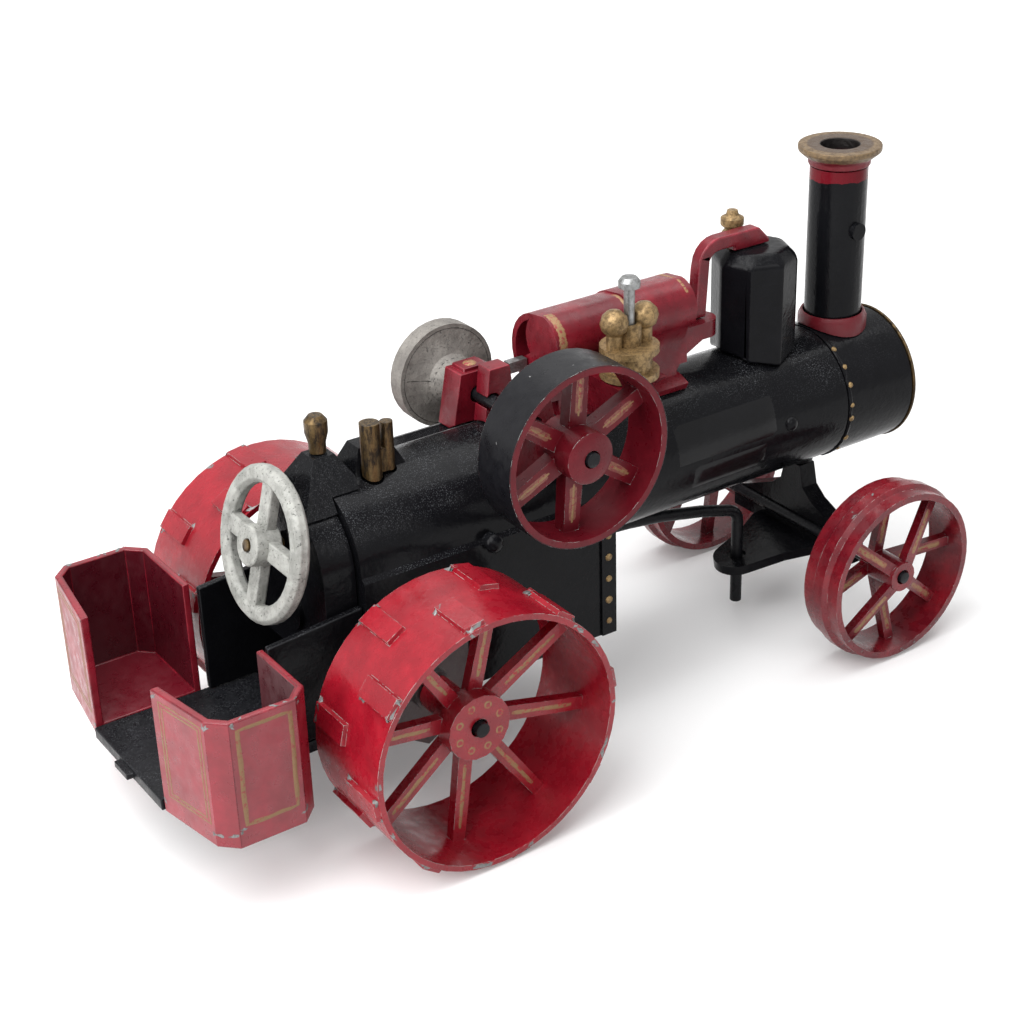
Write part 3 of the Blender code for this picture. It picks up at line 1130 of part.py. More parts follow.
def bunkers(finish):
    """Thin-walled bins open to the middle of the platform, with cut corners and a floor."""
    for side, reach, label in ((1, BUNKER_LEFT_SIDE, "left"), (-1, BUNKER_RIGHT_SIDE, "right")):
        body = prism(f"bunker_{label}", bunker_outline(side, reach, 0, 0), "xy", PLATFORM_BOTTOM, BUNKER_TOP,
                     finish["wine"])
        room = prism(f"bunker_room_{label}", bunker_outline(side, reach, BUNKER_WALL, CUT_OVERRUN), "xy", FLOOR_TOP,
                     BUNKER_TOP + CUT_OVERRUN, None)
        cut(body, room)


def handwheel_axis():
    """Direction of the steering column, forward and down from the wheel."""
    tilt = math.radians(HANDWHEEL_TILT)
    return Vector((math.cos(tilt), 0, -math.sin(tilt)))


def handwheel_point(along):
    return Vector((station(HANDWHEEL_X), 0, HANDWHEEL_HEIGHT)) + handwheel_axis() * along


def steering_wheel(finish):
    """Four-spoked hand wheel on a bronze column from the backhead."""
    axis = handwheel_axis()
    centre = handwheel_point(0)
    half = HANDWHEEL_RIM_DEPTH / 2
    edge = HANDWHEEL_RIM_DEPTH / 4
    inner = HANDWHEEL_RADIUS - HANDWHEEL_RIM_WIDTH
    rim_profile = [(inner, -half + edge), (inner + edge, -half), (HANDWHEEL_RADIUS - edge, -half),
                   (HANDWHEEL_RADIUS, -half + edge), (HANDWHEEL_RADIUS, half - edge),
                   (HANDWHEEL_RADIUS - edge, half), (inner + edge, half), (inner, half - edge)]
    wheel = turned("steering_wheel", rim_profile, axis, centre, ROUND_STEPS, finish["white"])
    bore = COLUMN_RADIUS + RUNNING_GAP
    hub_rear = -HANDWHEEL_HUB_PROUD
    hub_front = HANDWHEEL_HUB_LENGTH - HANDWHEEL_HUB_PROUD
    hub = turned("handwheel_hub", ring_profile(bore, HANDWHEEL_HUB_RADIUS, hub_rear, hub_front), axis, centre,
                 SMALL_STEPS, None)
    spokes = []
    turning = axis.to_track_quat("Z", "Y").to_matrix()
    half_width = HANDWHEEL_SPOKE_WIDTH / 2
    half_depth = HANDWHEEL_SPOKE_DEPTH / 2
    for index in range(HANDWHEEL_SPOKES):
        spin = Matrix.Rotation(math.tau * index / HANDWHEEL_SPOKES, 3, "Z")
        sections = []
        for radius in (HANDWHEEL_HUB_RADIUS - COLUMN_RADIUS, inner + edge * 2):
            ring = [(-half_width, radius, -half_depth), (half_width, radius, -half_depth),
                    (half_width, radius, half_depth), (-half_width, radius, half_depth)]
            sections.append([centre + turning @ (spin @ Vector(spot)) for spot in ring])
        spokes.append(loft(f"handwheel_spoke_{index}", sections, None))
    fuse(wheel, hub, *spokes)
    put_origin(wheel, centre)
    seat = (station(BACKHEAD_REAR) - centre.x) / axis.x
    column_end = seat - COLUMN_RADIUS - SEAT_GAP
    rod("steering_column", handwheel_point(hub_rear - COLUMN_PROUD), handwheel_point(column_end), COLUMN_RADIUS,
        SMALL_STEPS, finish["bronze"])


def bolster(finish):
    """Fixed pad and pin under the boiler, and the casting that turns on them with the axle."""
    pivot = Vector((station(PIVOT_X), 0, 0))
    axle = Vector((station(WHEELBASE), 0, FRONT_AXLE_HEIGHT))
    pad = rod("bolster_pad", pivot + AXES["z"] * PAD_BOTTOM, pivot + AXES["z"] * BOILER_HEIGHT, PAD_RADIUS,
              SMALL_STEPS, finish["black"])
    pin_room = rod("pad_pin_room", pivot + AXES["z"] * (PAD_BOTTOM - CUT_OVERRUN), pivot + AXES["z"] * BOILER_HEIGHT,
                   KINGPIN_RADIUS + SEAT_GAP, SMALL_STEPS, None)
    cut(pad, smokebox_room("pad_seat", station(BARREL_REAR), station(SMOKEBOX_FRONT)), pin_room)
    pin_top = BOILER_HEIGHT - SMOKEBOX_RADIUS - SEAT_GAP
    pin_low = BOLSTER_TOP - KINGPIN_DEPTH
    rod("kingpin", pivot + AXES["z"] * pin_low, pivot + AXES["z"] * pin_top, KINGPIN_RADIUS, SMALL_STEPS,
        finish["steel"])
    bottom = TONGUE_ROOT_TOP - TONGUE_THICKNESS
    neck = BOLSTER_NECK / 2
    reach = BOLSTER_WIDTH / 2
    height = BOLSTER_TOP - FRONT_AXLE_HEIGHT
    flare_shares = ((0, 1), (0.07, 0.63), (0.24, 0.45), (0.37, 0.38), (0.72, 0.18), (1, 0.05))
    near_side = [(neck + (reach - neck) * out, FRONT_AXLE_HEIGHT + height * up) for out, up in flare_shares]
    outline = [*near_side, (reach, bottom), (-reach, bottom), *[(-y, z) for y, z in reversed(near_side)]]
    casting = prism("front_bolster", outline, "yz", axle.x, axle.x + BOLSTER_THICKNESS, finish["black"])
    tongue = tongue_plate(axle.x)
    fuse(casting, tongue)
    hole_place = Vector((station(TONGUE_HOLE_X), 0, 0))
    hole = rod("tongue_hole", hole_place, hole_place + AXES["z"] * FRONT_AXLE_HEIGHT, TONGUE_HOLE_RADIUS, SMALL_STEPS,
               None)
    across = AXES["y"] * (reach + CUT_OVERRUN)
    axle_room = rod("front_axle_room", axle - across, axle + across,
                    FRONT_AXLE_RADIUS + SEAT_GAP, SMALL_STEPS, None)
    above = BOLSTER_TOP + CUT_OVERRUN
    bore = rod("kingpin_room", pivot + AXES["z"] * (pin_low - RUNNING_GAP), pivot + AXES["z"] * above,
               KINGPIN_RADIUS + RUNNING_GAP, SMALL_STEPS, None)
    cut(casting, hole, axle_room, bore)
    put_origin(casting, pivot + AXES["z"] * FRONT_AXLE_HEIGHT)
    end = AXES["y"] * (FRONT_FACE + FRONT_AXLE_PROUD)
    shaft = rod("front_axle", axle - end, axle + end, FRONT_AXLE_RADIUS, SMALL_STEPS, finish["black"])
    put_origin(shaft, pivot + AXES["z"] * FRONT_AXLE_HEIGHT)


def tongue_plate(casting_rear):
    """The plate from the casting back to the reach rod, which slopes down to its rounded tip."""
    hole_x = station(TONGUE_HOLE_X)
    root = TONGUE_ROOT_WIDTH / 2
    waist = TONGUE_WAIST_WIDTH / 2
    root_x = casting_rear + BOLSTER_THICKNESS / 2
    waist_x = (hole_x + casting_rear) / 2
    tip = [(hole_x + a, b) for a, b in arc_points(0, 0, TONGUE_TIP_RADIUS, 100, 260, FINE_STEPS)]
    outline = [(root_x, root), (casting_rear - TONGUE_THICKNESS, root), (waist_x, waist), *tip, (waist_x, -waist),
               (casting_rear - TONGUE_THICKNESS, -root), (root_x, -root)]
    plate = prism("tongue", outline, "xy", TONGUE_ROOT_TOP - TONGUE_THICKNESS, TONGUE_ROOT_TOP, None)
    hinge = Vector((root_x, 0, TONGUE_ROOT_TOP - TONGUE_THICKNESS))
    tilt = Matrix.Rotation(-math.radians(TONGUE_SLOPE), 4, "Y")
    plate.data.transform(Matrix.Translation(hinge) @ tilt @ Matrix.Translation(-hinge))
    return plate


def reach_rod(finish):
    """Bent rod hooked up into the boiler's underside, whose front end hangs in the tongue's hole."""
    rear = station(REACH_ROD_REAR)
    front = station(TONGUE_HOLE_X)
    front_height = TONGUE_ROOT_TOP + REACH_ROD_RISE
    drop = REACH_ROD_HEIGHT - front_height
    bow_shares = ((0.28, 0.13), (0.48, 0.28), (0.75, 0.60))
    bow = [Vector((rear + (front - rear) * along, 0, REACH_ROD_HEIGHT - drop * down)) for along, down in bow_shares]
    hook_top = Vector((rear, 0, BOILER_UNDERSIDE + REACH_ROD_HOOK))
    rear_corner = Vector((rear, 0, REACH_ROD_HEIGHT))
    front_corner = Vector((front, 0, front_height))
    rear_end = rounded_path([hook_top, rear_corner, bow[0]], REACH_ROD_REAR_BEND)
    front_end = rounded_path([bow[-1], front_corner, Vector((front, 0, REACH_ROD_LOW))], REACH_ROD_FRONT_BEND)
    path = [*rear_end, *bow[1:-1], *front_end]
    body = sweep("reach_rod", path, round_section(REACH_ROD_RADIUS, FINE_STEPS), finish["black"])
    put_origin(body, rear_corner)


def valves(finish):
    """Bronze peg on the mound, and the fluted pair that stands against the firebox's collar."""
    peg_place = Vector((station(MOUND_X), 0, MOUND_TOP + SEAT_GAP))
    shares = ((PEG_WAIST_SHARE, 0), (PEG_WAIST_SHARE, 0.25), (1, 0.55), (1, 0.85), (0.6, 1), (0, 1))
    profile = [(0, 0), *[(PEG_RADIUS * wide, PEG_HEIGHT * tall) for wide, tall in shares]]
    turned("throttle_peg", profile, AXES["z"], peg_place, SMALL_STEPS, finish["bronze"])
    low = BOILER_HEIGHT
    thick = Vector((station(VALVE_X), VALVE_Y, low))
    slim = Vector((station(SLIM_VALVE_X), SLIM_VALVE_Y, low))
    body = rod("water_valves", thick, thick + AXES["z"] * VALVE_RISE, VALVE_RADIUS, SMALL_STEPS, finish["bronze"])
    stem = rod("slim_valve", slim, slim + AXES["z"] * SLIM_VALVE_RISE, SLIM_VALVE_RADIUS, SMALL_STEPS, None)
    fuse(body, stem, valve_web("valve_web", 0, low))
    cut(body, boiler_room("valve_bed", station(FIREBOX_REAR), station(BARREL_REAR)))


def main():
    clear_scene()
    finish = finishes()
    for side in (1, -1):
        rear_wheel(side, finish["crimson"])
        front_wheel(side, finish["wine"])
    rear_axle(finish)
    axle_brackets(finish)
    firebox(finish)
    backhead(finish)
    boiler(finish)
    smokebox(finish)
    chimney(finish)
    dome(finish)
    steam_pipe(finish)
    cylinder_block(finish)
    governor(finish)
    bearings(finish)
    crosshead_guide(finish)
    crankshaft(finish)
    platform(finish)
    bunkers(finish)
    steering_wheel(finish)
    bolster(finish)
    reach_rod(finish)
    valves(finish)


main()
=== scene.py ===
"""Looks of the cast-metal model steam traction engine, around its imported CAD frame."""

import math
import random

import bmesh
import bpy
from mathutils import Matrix, Vector
from mathutils.bvhtree import BVHTree


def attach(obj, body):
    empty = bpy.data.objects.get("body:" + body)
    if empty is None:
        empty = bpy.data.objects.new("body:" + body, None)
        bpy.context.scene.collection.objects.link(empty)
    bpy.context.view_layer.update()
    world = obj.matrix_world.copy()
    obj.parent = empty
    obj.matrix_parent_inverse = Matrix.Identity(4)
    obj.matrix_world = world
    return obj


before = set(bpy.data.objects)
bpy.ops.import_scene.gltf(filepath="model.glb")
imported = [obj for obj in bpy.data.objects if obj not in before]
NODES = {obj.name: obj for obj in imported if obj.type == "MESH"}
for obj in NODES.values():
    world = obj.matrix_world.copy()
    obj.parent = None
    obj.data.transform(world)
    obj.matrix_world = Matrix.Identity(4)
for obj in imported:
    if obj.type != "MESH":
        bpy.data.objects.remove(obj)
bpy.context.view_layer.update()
MM = 0.001

# Where the rear axle lies along the frame. Places are in millimetres forward from it, to the left
# of the middle and up from the ground, and sizes are in millimetres too.
REAR_AXLE_X = -39.65
REAR_AXLE_HEIGHT = 27.3
FRONT_AXLE_X, FRONT_AXLE_HEIGHT = 111.9, 20.3
CRANK_X, CRANK_HEIGHT = 32.4, 70.3
BOILER_HEIGHT, BOILER_RADIUS = 51.2, 15.0
CHIMNEY_X = 122
BUNKER_MIDDLE_X, BUNKER_MIDDLE_Y = -42.6, 25.5
BUNKER_BOTTOM, BUNKER_FLOOR, BUNKER_TOP = 20.4, 23.0, 44.2
BUNKER_OUTER = {"left": 37.6, "right": 34.2}
SIDES = {"left": 1, "right": -1}

# Lines aimed at the model start beyond it, and those aimed at an axis start AROUND away from it
ASIDE, OVERHEAD, BEHIND, AROUND = 60, 90, -70, 40
FORWARD = Vector((1, 0, 0))
UP = Vector((0, 0, 1))
DOWN = Vector((0, 0, -1))

# Camera at the photograph's viewing angle
CAMERA_PLACE = (-164.85, -301.67, 232.13)
CAMERA_RIGHT = Vector((0.8251, -0.5643, -0.0287))
CAMERA_UP = Vector((0.2800, 0.3643, 0.8883))
LENS = 69.5
SENSOR_WIDTH = 36.0
CLIP_NEAR, CLIP_FAR = 0.01, 20.0

# Lamps: place and target's height in metres, width and height, power
LAMPS = {
    "key": ((-0.40, -0.12, 0.56), 0.05, (0.55, 0.55), 5.2),
    "rear": ((-0.62, 0.02, 0.22), 0.05, (0.3, 0.3), 1.7),
    "front": ((0.0, -0.60, 0.40), 0.05, (0.5, 0.3), 1.0),
    "top": ((0.08, 0.06, 0.66), 0.06, (0.7, 0.7), 4.0),
}
WORLD_LIGHT = 0.16
BACKGROUND = (1.0, 1.0, 1.0)

# The floor glows for the lens alone, faintly under the model and fully away from it, in metres
FLOOR_REACH = 6.0
FLOOR_COLOUR = (0.82, 0.82, 0.82)
FLOOR_ROUGHNESS, FLOOR_GLOSS = 0.85, 0.2
GLOW_FROM, GLOW_TO = 0.16, 0.6
GLOW_NEAR, GLOW_FAR = 0.13, 1.0

# Blacks
BLACK = (0.0055, 0.0057, 0.0068)
BLACK_DUST = (0.10, 0.104, 0.112)
BLACK_EDGE = (0.014, 0.014, 0.016)
JET_BLACK = (0.006, 0.006, 0.0075)
DULL_BLACK = (0.009, 0.009, 0.011)
TREAD_BLACK = (0.005, 0.005, 0.0065)
BAND_BLACK = (0.003, 0.003, 0.0035)
BAND_PATCHES = (0.005, 0.005, 0.006)
# The blackest paint: the deep tone of the black enamels, and painted shade inside the bores of the chimney
# and its cap
DEEP_BLACK_AND_BORE_SHADE = (0.004, 0.004, 0.005)

# Reds
CRIMSON = (0.295, 0.007, 0.017)
CRIMSON_DEEP = (0.20, 0.004, 0.011)
WINE = (0.185, 0.008, 0.017)
WINE_DEEP = (0.095, 0.004, 0.009)
WINE_EDGE = (0.29, 0.020, 0.036)
WINE_DARK = (0.11, 0.006, 0.011)
FRONT_WHEEL = (0.20, 0.006, 0.013)
FRONT_WHEEL_EDGE = (0.22, 0.011, 0.022)
FLYWHEEL = (0.145, 0.007, 0.014)
FLYWHEEL_EDGE = (0.20, 0.012, 0.022)
BUNKER = (0.24, 0.010, 0.022)
BUNKER_DEEP = (0.16, 0.005, 0.012)
BUNKER_EDGE = (0.26, 0.012, 0.025)
BUNKER_FLOOR_RED = (0.12, 0.004, 0.011)
# Painted shade on the walls inside the bunkers
BUNKER_INSIDE_SHADE = (0.055, 0.002, 0.006)
COLLAR_RED = (0.13, 0.006, 0.012)
UNDER_WINE_LINE = (0.24, 0.014, 0.026)
UNDER_CRIMSON_LINE = (0.33, 0.014, 0.026)
UNDER_FAINT_LINE = (0.22, 0.030, 0.030)
UNDER_WASH = (0.17, 0.012, 0.020)

# Gold and bronze paints
GOLD = (0.26, 0.155, 0.068)
GOLD_DARK = (0.15, 0.080, 0.036)
GOLD_FAINT = (0.20, 0.115, 0.05)
GOLD_WASH = (0.22, 0.075, 0.045)
RIVET = (0.34, 0.22, 0.085)
RIVET_DEEP = (0.12, 0.075, 0.03)
BRONZE = (0.31, 0.205, 0.09)
BRONZE_DEEP = (0.10, 0.062, 0.026)
CAP = (0.19, 0.125, 0.06)
CAP_DEEP = (0.085, 0.055, 0.03)
CAP_MIDDLE = (0.07, 0.045, 0.028)
PEG = (0.12, 0.075, 0.028)
PEG_DEEP = (0.010, 0.007, 0.005)

# Pale paints, dirt and metals
WHITE = (0.36, 0.36, 0.335)
WHITE_DIRT = (0.13, 0.132, 0.12)
GREY = (0.225, 0.21, 0.19)
GREY_DIRT = (0.095, 0.085, 0.078)
GRIME = (0.05, 0.045, 0.04)
GRIME_DEEP = (0.02, 0.02, 0.02)
PORE_DIRT = (0.045, 0.045, 0.042)
WORN = (0.20, 0.20, 0.20)
WORN_DEEP = (0.03, 0.03, 0.03)
METAL = (0.42, 0.42, 0.41)
METAL_SHADE = (0.22, 0.21, 0.20)
STEEL = (0.27, 0.275, 0.275)
RAW_CASTING = (0.13, 0.13, 0.13)
CHIPPED = (0.24, 0.24, 0.24)
TARNISH = (0.14, 0.14, 0.135)

# Patterns of noise: how fine they are per metre, octaves and roughness
PATTERNS = {
    "dust clouds": (110, 3, 0.55),
    "colour patches": (140, 4, 0.6),
    "wavering edge": (260, 2, 0.55),
    "casting lumps": (260, 3, 0.55),
    "dirt clouds": (260, 5, 0.7),
    "soft lumps": (300, 2, 0.55),
    "chips": (330, 5, 0.75),
    "thick paint": (420, 2, 0.55),
    "gloss": (420, 3, 0.55),
    "stains": (620, 4, 0.75),
    "crust": (800, 4, 0.6),
    "brush marks": (900, 3, 0.6),
    "tarnish": (900, 4, 0.7),
    "streaks": (950, 5, 0.75),
    "paint grain": (1300, 4, 0.6),
    "rubbed places": (1300, 4, 0.75),
    "metal shades": (1500, 3, 0.55),
    "pores": (2100, 3, 0.7),
    "line grain": (2400, 3, 0.55),
    "metal gloss": (2500, 3, 0.55),
    "scratches": (3000, 3, 0.6),
    "dark specks": (3600, 2, 0.55),
    "fine grain": (3800, 2, 0.6),
    "dust": (4200, 2, 0.7),
    "metal flakes": (4200, 3, 0.7),
}
# The values of noise at which a pattern begins and is whole
SPANS = {
    "dust clouds": (0.38, 0.66),
    "colour patches": (0.32, 0.72),
    "wavering edge": (0.2, 0.8),
    "dirt clouds": (0.35, 0.65),
    "gloss": (0.3, 0.7),
    "stains": (0.63, 0.69),
    "brush marks": (0.30, 0.62),
    "tarnish": (0.4, 0.7),
    "streaks": (0.34, 0.62),
    "pores": (0.60, 0.68),
    "metal gloss": (0.3, 0.7),
    "dark specks": (0.45, 0.75),
    "dust": (0.55, 0.67),
    "metal flakes": (0.35, 0.7),
}
# Relief of each kind of finish: strength and depth
RELIEF = {
    "enamel": (0.55, 0.16),
    "metallic paint": (0.7, 0.2),
    "line": (0.4, 0.06),
    "worn paint": (0.8, 0.26),
    "metal": (0.35, 0.05),
}

# Enamel: shares, tilts, heights and roughness of its faults
BRUSH_MARK_SHARE = 0.35
ENAMEL_GLOSSY, ENAMEL_MATT = 0.75, 1.3
GRAIN_HEIGHT, CASTING_HEIGHT = 0.12, 0.9
DUST_BETWEEN_CLOUDS = 0.25
DUST_ON_WALLS = 0.03
DUSTY_TILT = (0.25, 0.8)
DUST_ROUGHNESS = 0.75
EDGE_CHIPS, EDGE_CHIPS_GAIN = 0.56, 0.12
FACE_CHIPS, FACE_CHIPS_GAIN = 0.745, 0.03
CHIP_SOFTNESS = 0.015
CHIP_ROUGHNESS = 0.42
CHIP_DEPTH = 0.5

# Other paints and bare metal: shares, heights and roughness
FLAKE_SHARE = 0.35
STREAK_MATT, STREAK_GLOSSY = 1.2, 0.85
RUBBED_SOFTNESS = 0.09
SPECK_SHARE = 0.5
LINE_ROUGHNESS = 0.48
DIRT_SHARE = 0.6
STAIN_SHARE = 0.8
PORE_DEPTH = 0.6
TARNISH_ROUGHNESS = 1.8
METALNESS = 0.9
SCRATCH_Z_SCALE = 6

# Edges between paints, and where they lie
PAINT_EDGE = 0.06
STRAIGHT_WAVER = 0.2
BORE_OUTSIDE, BORE_INSIDE = 0.3, 0.2
INWARD_FROM, INWARD_TO = 0.2, 1.5
LEVEL_TILT = (0.7, 0.9)
CHIMNEY_COLLAR, CAP_COLLAR = 99.3, 104.3
CHIMNEY_BORE, CAP_BORE, CAP_HOLLOW = 5.2, 4.3, 7.0
FLYWHEEL_RED_TO = 18.22

# Rounded edges of the castings, and the thick paint of the steering wheel
WELD_DISTANCE = 0.002
ROUNDED_ANGLE = 32
USUAL_EDGE, SMALL_EDGE = 0.28, 0.4
FLAT_FACE_WEIGHT = 80
PUFFED_PAINT = 0.32
SOFT_EDGES = {
    "steam_dome": 1.1, "steam_pipe": 0.7, "cylinder_block": 0.55, "steering_wheel": 0.5, "backhead": 0.45,
    "bearing_left": 0.4, "bearing_right": 0.4, "front_bolster": 0.4, "throttle_peg": 0.4,
    "water_valves": 0.35, "governor_screw": 0.15, "kingpin": 0.15, "reach_rod": 0.15, "slide_bar": 0.15,
}

# Painted lines: their cross-section and how they waver, as shares of their width
LINE_SHOULDER = 0.6
WIDTH_WAVER, PLACE_WAVER = 1.5, 0.6
LINE_END = 0.5
SUNK, END_SUNK = 0.05, 0.03

# Domed studs: rings, points in a ring and degrees between rings
STUD_RINGS, STUD_STEPS, STUD_TILT = 4, 10, 26
STUD_SPREAD = (0.85, 1.15)

# Chips of paint: points round a chip and the fewest to keep it, its shape and spread as shares of
# its size, how high it lies, and the share of places that get one
CHIP_STEPS, CHIP_LEAST_STEPS = 13, 5
CHIP_LENGTHS, CHIP_WIDTHS, CHIP_REACHES = (0.6, 1.5), (0.3, 0.7), (0.35, 1.2)
CHIP_SPREAD = 1.6
CHIP_RIM_LIFT, CHIP_MIDDLE_LIFT = 0.02, 0.035
CHIPS_KEPT = 0.75

# Wheels: degrees from straight up, radii, and places across the tread
REAR_SPOKES = [11 + 45 * k for k in range(8)]
HUB_RINGS = [25 + 45 * k for k in range(8)]
FRONT_SPOKES = [-4.5 + 45 * k for k in range(8)]
FLYWHEEL_SPOKES = [5 + 60 * k for k in range(6)]
REAR_LUGS = [81 + 22.5 * k for k in range(16)]
LUG_ENDS = ((45.6, 36.4), (25.2, 34.6))
LUG_SIDES, LUG_SIDES_AT_RIM = (-4.3, 4.3), (-4, 4)
LUG_TURN_WANDER, LUG_ACROSS_WANDER = (-0.5, 0.5), (-0.5, 0.3)
LUG_RIM = 26.9
CHIPS_ON_LUG, CHIPS_ON_RIM = 3, 16
REAR_RIM, REAR_TREAD_EDGE = (25.5, 26.2), 46.2
WORN_RIM, WORN_RIM_ANGLES = 26.4, (81, 126, 149, 171, 196, 305, 352, 20)
FRONT_TREAD, FRONT_TREAD_CHIPS = (31.0, 32.4), 12
FRONT_RIM, FRONT_RIM_ANGLES, FRONT_RIM_CHIPS = (18.2, 19.3), (120, 260), 10
FLYWHEEL_TREAD, FLYWHEEL_SCUFFS = (-31, -20.8), 6
DISC_SEAMS = ((10.3, 40), (4.6, 24))
DISC_CRACKS = (-84, 131)

# Gold bands on the cylinder casting: a place inside it, and degrees from straight up to the left
CYLINDER_BAND = ((43.6, -2.0, 82.0), -112, 8)
CYLINDER_EDGES = (((42.8, 0, 78.45), 16, 100), ((60.4, -2.0, 82.0), -38, 14), ((75.4, 0, 79.0), -50, 62))
BEARING_CAP_Y = 9.9

# Panels and chipped corners of the bunkers
REAR_PANEL_INSETS = (1.7, 2.6)
REAR_PANEL_INNER, REAR_PANEL_MARGIN = 15.8, 2.7
SIDE_PANEL_X, SIDE_PANEL_LENGTH, SIDE_PANEL_TALL, SIDE_PANEL_RAISED = -46.4, 10.4, 20.0, 1.8
REAR_CORNER_INNER, REAR_CORNER_MARGIN = 16.0, 3.4
SIDE_CORNERS_X = (-48.0, -34.9)
CORNER_HEIGHTS = (BUNKER_BOTTOM + 0.5, BUNKER_TOP - 0.6)
CORNER_CHIPS, CORNER_WANDER, HEIGHT_WANDER = 3, 0.9, 0.8
TOP_CHIPS, TOP_CHIPS_X, TOP_CHIPS_INSET = 5, (-50, -34), 0.5

# Rivets, knobs, lap and worn edges of the boiler
FIREBOX_RIVETS = [22.8 + 5.0 * k for k in range(5)]
FIREBOX_RIVETS_X = 47.5
SEAM_RIVETS = [16.5 * k for k in range(-8, 9)]
SEAM_TOP, SEAM_UNDER, SEAM_WANDER = 20, 140, 2.5
SEAM_X, LAP_X = (114.75, 115.35), 114.75
LAP_FROM, LAP_TO = 22, 158
BOSS_X, BOSS_HEIGHT = 97.7, 53.0
KNOB_X, KNOB_HEIGHT = 19.5, 50.3
WORN_EDGES_X = [10 + 3.2 * k for k in range(13)]
WORN_EDGES_Y = (7.3, 12.7)

# Bare raised bands: rear and front ends, top and bottom
BANDS = {"boiler.band_upper": (66.7, 93.9, 60.1, 51.6), "boiler.band_lower": (71.0, 91.0, 50.6, 45.1)}
BAND_THICKNESS = 0.14
BAND_ALONG, BAND_ACROSS = 16, 8


def point(x, y, z):
    """A place in the frame, from millimetres."""
    return Vector((x + REAR_AXLE_X, y, z)) * MM


class Nodes:
    """Short ways to add and join the nodes of one tree."""

    def __init__(self, tree):
        self.tree = tree

    def add(self, kind, **values):
        """A new node with some of its settings."""
        node = self.tree.nodes.new(kind)
        for key, value in values.items():
            setattr(node, key, value)
        return node

    def put(self, value, socket):
        """Links a node's output to an input, or sets the input to a number or a colour."""
        if isinstance(value, bpy.types.NodeSocket):
            self.tree.links.new(value, socket)
        elif isinstance(value, tuple) and len(value) == 3 and socket.type == "RGBA":
            socket.default_value = (*value, 1.0)
        else:
            socket.default_value = value

    def ramp(self, value, low, high, to_low=0.0, to_high=1.0, interpolation="SMOOTHSTEP"):
        """A value brought from one span to another."""
        node = self.add("ShaderNodeMapRange", clamp=True, interpolation_type=interpolation)
        self.put(value, node.inputs["Value"])
        for key, number in (("From Min", low), ("From Max", high), ("To Min", to_low), ("To Max", to_high)):
            node.inputs[key].default_value = number
        return node.outputs["Result"]

    def math(self, operation, first, second=0.0):
        """One sum on two values."""
        node = self.add("ShaderNodeMath", operation=operation)
        self.put(first, node.inputs[0])
        self.put(second, node.inputs[1])
        return node.outputs[0]

    def plus(self, first, second):
        """Both values together."""
        return self.math("ADD", first, second)

    def minus(self, first, second):
        """The first value less the second."""
        return self.math("SUBTRACT", first, second)

    def times(self, first, second):
        """The product of two values."""
        return self.math("MULTIPLY", first, second)

    def reach(self, first, second):
        """How far two steps at right angles go together."""
        return self.math("SQRT", self.plus(self.times(first, first), self.times(second, second)))

    def mix(self, share, first, second, kind="RGBA"):
        """The first colour or value, with a share of the second."""
        node = self.add("ShaderNodeMix", data_type=kind)
        self.put(share, node.inputs["Factor"])
        self.put(first, node.inputs["A"])
        self.put(second, node.inputs["B"])
        return node.outputs["Result"]

    def mix_shader(self, share, first, second):
        """The first shader, with a share of the second."""
        node = self.add("ShaderNodeMixShader")
        self.put(share, node.inputs["Fac"])
        self.put(first, node.inputs[1])
        self.put(second, node.inputs[2])
        return node.outputs["Shader"]

    def split(self, vector):
        """The X, Y and Z parts of a vector."""
        node = self.add("ShaderNodeSeparateXYZ")
        self.put(vector, node.inputs[0])
        return node.outputs

    def seen_by_lens(self):
        """1 for rays that show the background itself: from the camera, in gloss and through glass."""
        path = self.add("ShaderNodeLightPath")
        value = path.outputs["Is Camera Ray"]
        for kind in ("Is Glossy Ray", "Is Transmission Ray"):
            value = self.math("MAXIMUM", value, path.outputs[kind])
        return value


class Look(Nodes):
    """The nodes of one material, around its shader."""

    def __init__(self, name):
        self.material = bpy.data.materials.new(name)
        self.material.use_nodes = True
        super().__init__(self.material.node_tree)
        self.shader = self.tree.nodes["Principled BSDF"]
        self.place = self.add("ShaderNodeTexCoord").outputs["Object"]

    def shade(self, name, value):
        """Gives one input of the shader its value."""
        self.put(value, self.shader.inputs[name])

    def noise(self, pattern, z_scale=1.0):
        """Noise of a named pattern, finer along Z above a scale of 1 and drawn out below it."""
        mapping = self.add("ShaderNodeMapping")
        self.put(self.place, mapping.inputs["Vector"])
        mapping.inputs["Scale"].default_value = (1, 1, z_scale)
        node = self.add("ShaderNodeTexNoise")
        self.put(mapping.outputs["Vector"], node.inputs["Vector"])
        for key, number in zip(("Scale", "Detail", "Roughness"), PATTERNS[pattern]):
            node.inputs[key].default_value = number
        return node.outputs["Fac"]

    def pattern(self, pattern, to_low=0.0, to_high=1.0, z_scale=1.0):
        """A named pattern, from a value where it is absent to a value where it is whole."""
        return self.ramp(self.noise(pattern, z_scale), *SPANS[pattern], to_low, to_high)

    def upward(self):
        """How far a face looks up."""
        return self.split(self.add("ShaderNodeNewGeometry").outputs["Normal"])["Z"]

    def relief(self, kind, height):
        """Dents the surface by a height."""
        strength, depth = RELIEF[kind]
        node = self.add("ShaderNodeBump")
        self.put(strength, node.inputs["Strength"])
        self.put(depth * MM, node.inputs["Distance"])
        self.put(height, node.inputs["Height"])
        self.shade("Normal", node.outputs["Normal"])


def outside_circle(centre_x, centre_z, radius):
    """Mask of what lies farther than a radius from an axis along Y."""
    centre = point(centre_x, 0, centre_z)

    def mask(n):
        place = n.split(n.place)
        reach = n.reach(n.minus(place["X"], centre.x), n.minus(place["Z"], centre.z))
        return n.ramp(reach, (radius - PAINT_EDGE) * MM, (radius + PAINT_EDGE) * MM)
    return mask


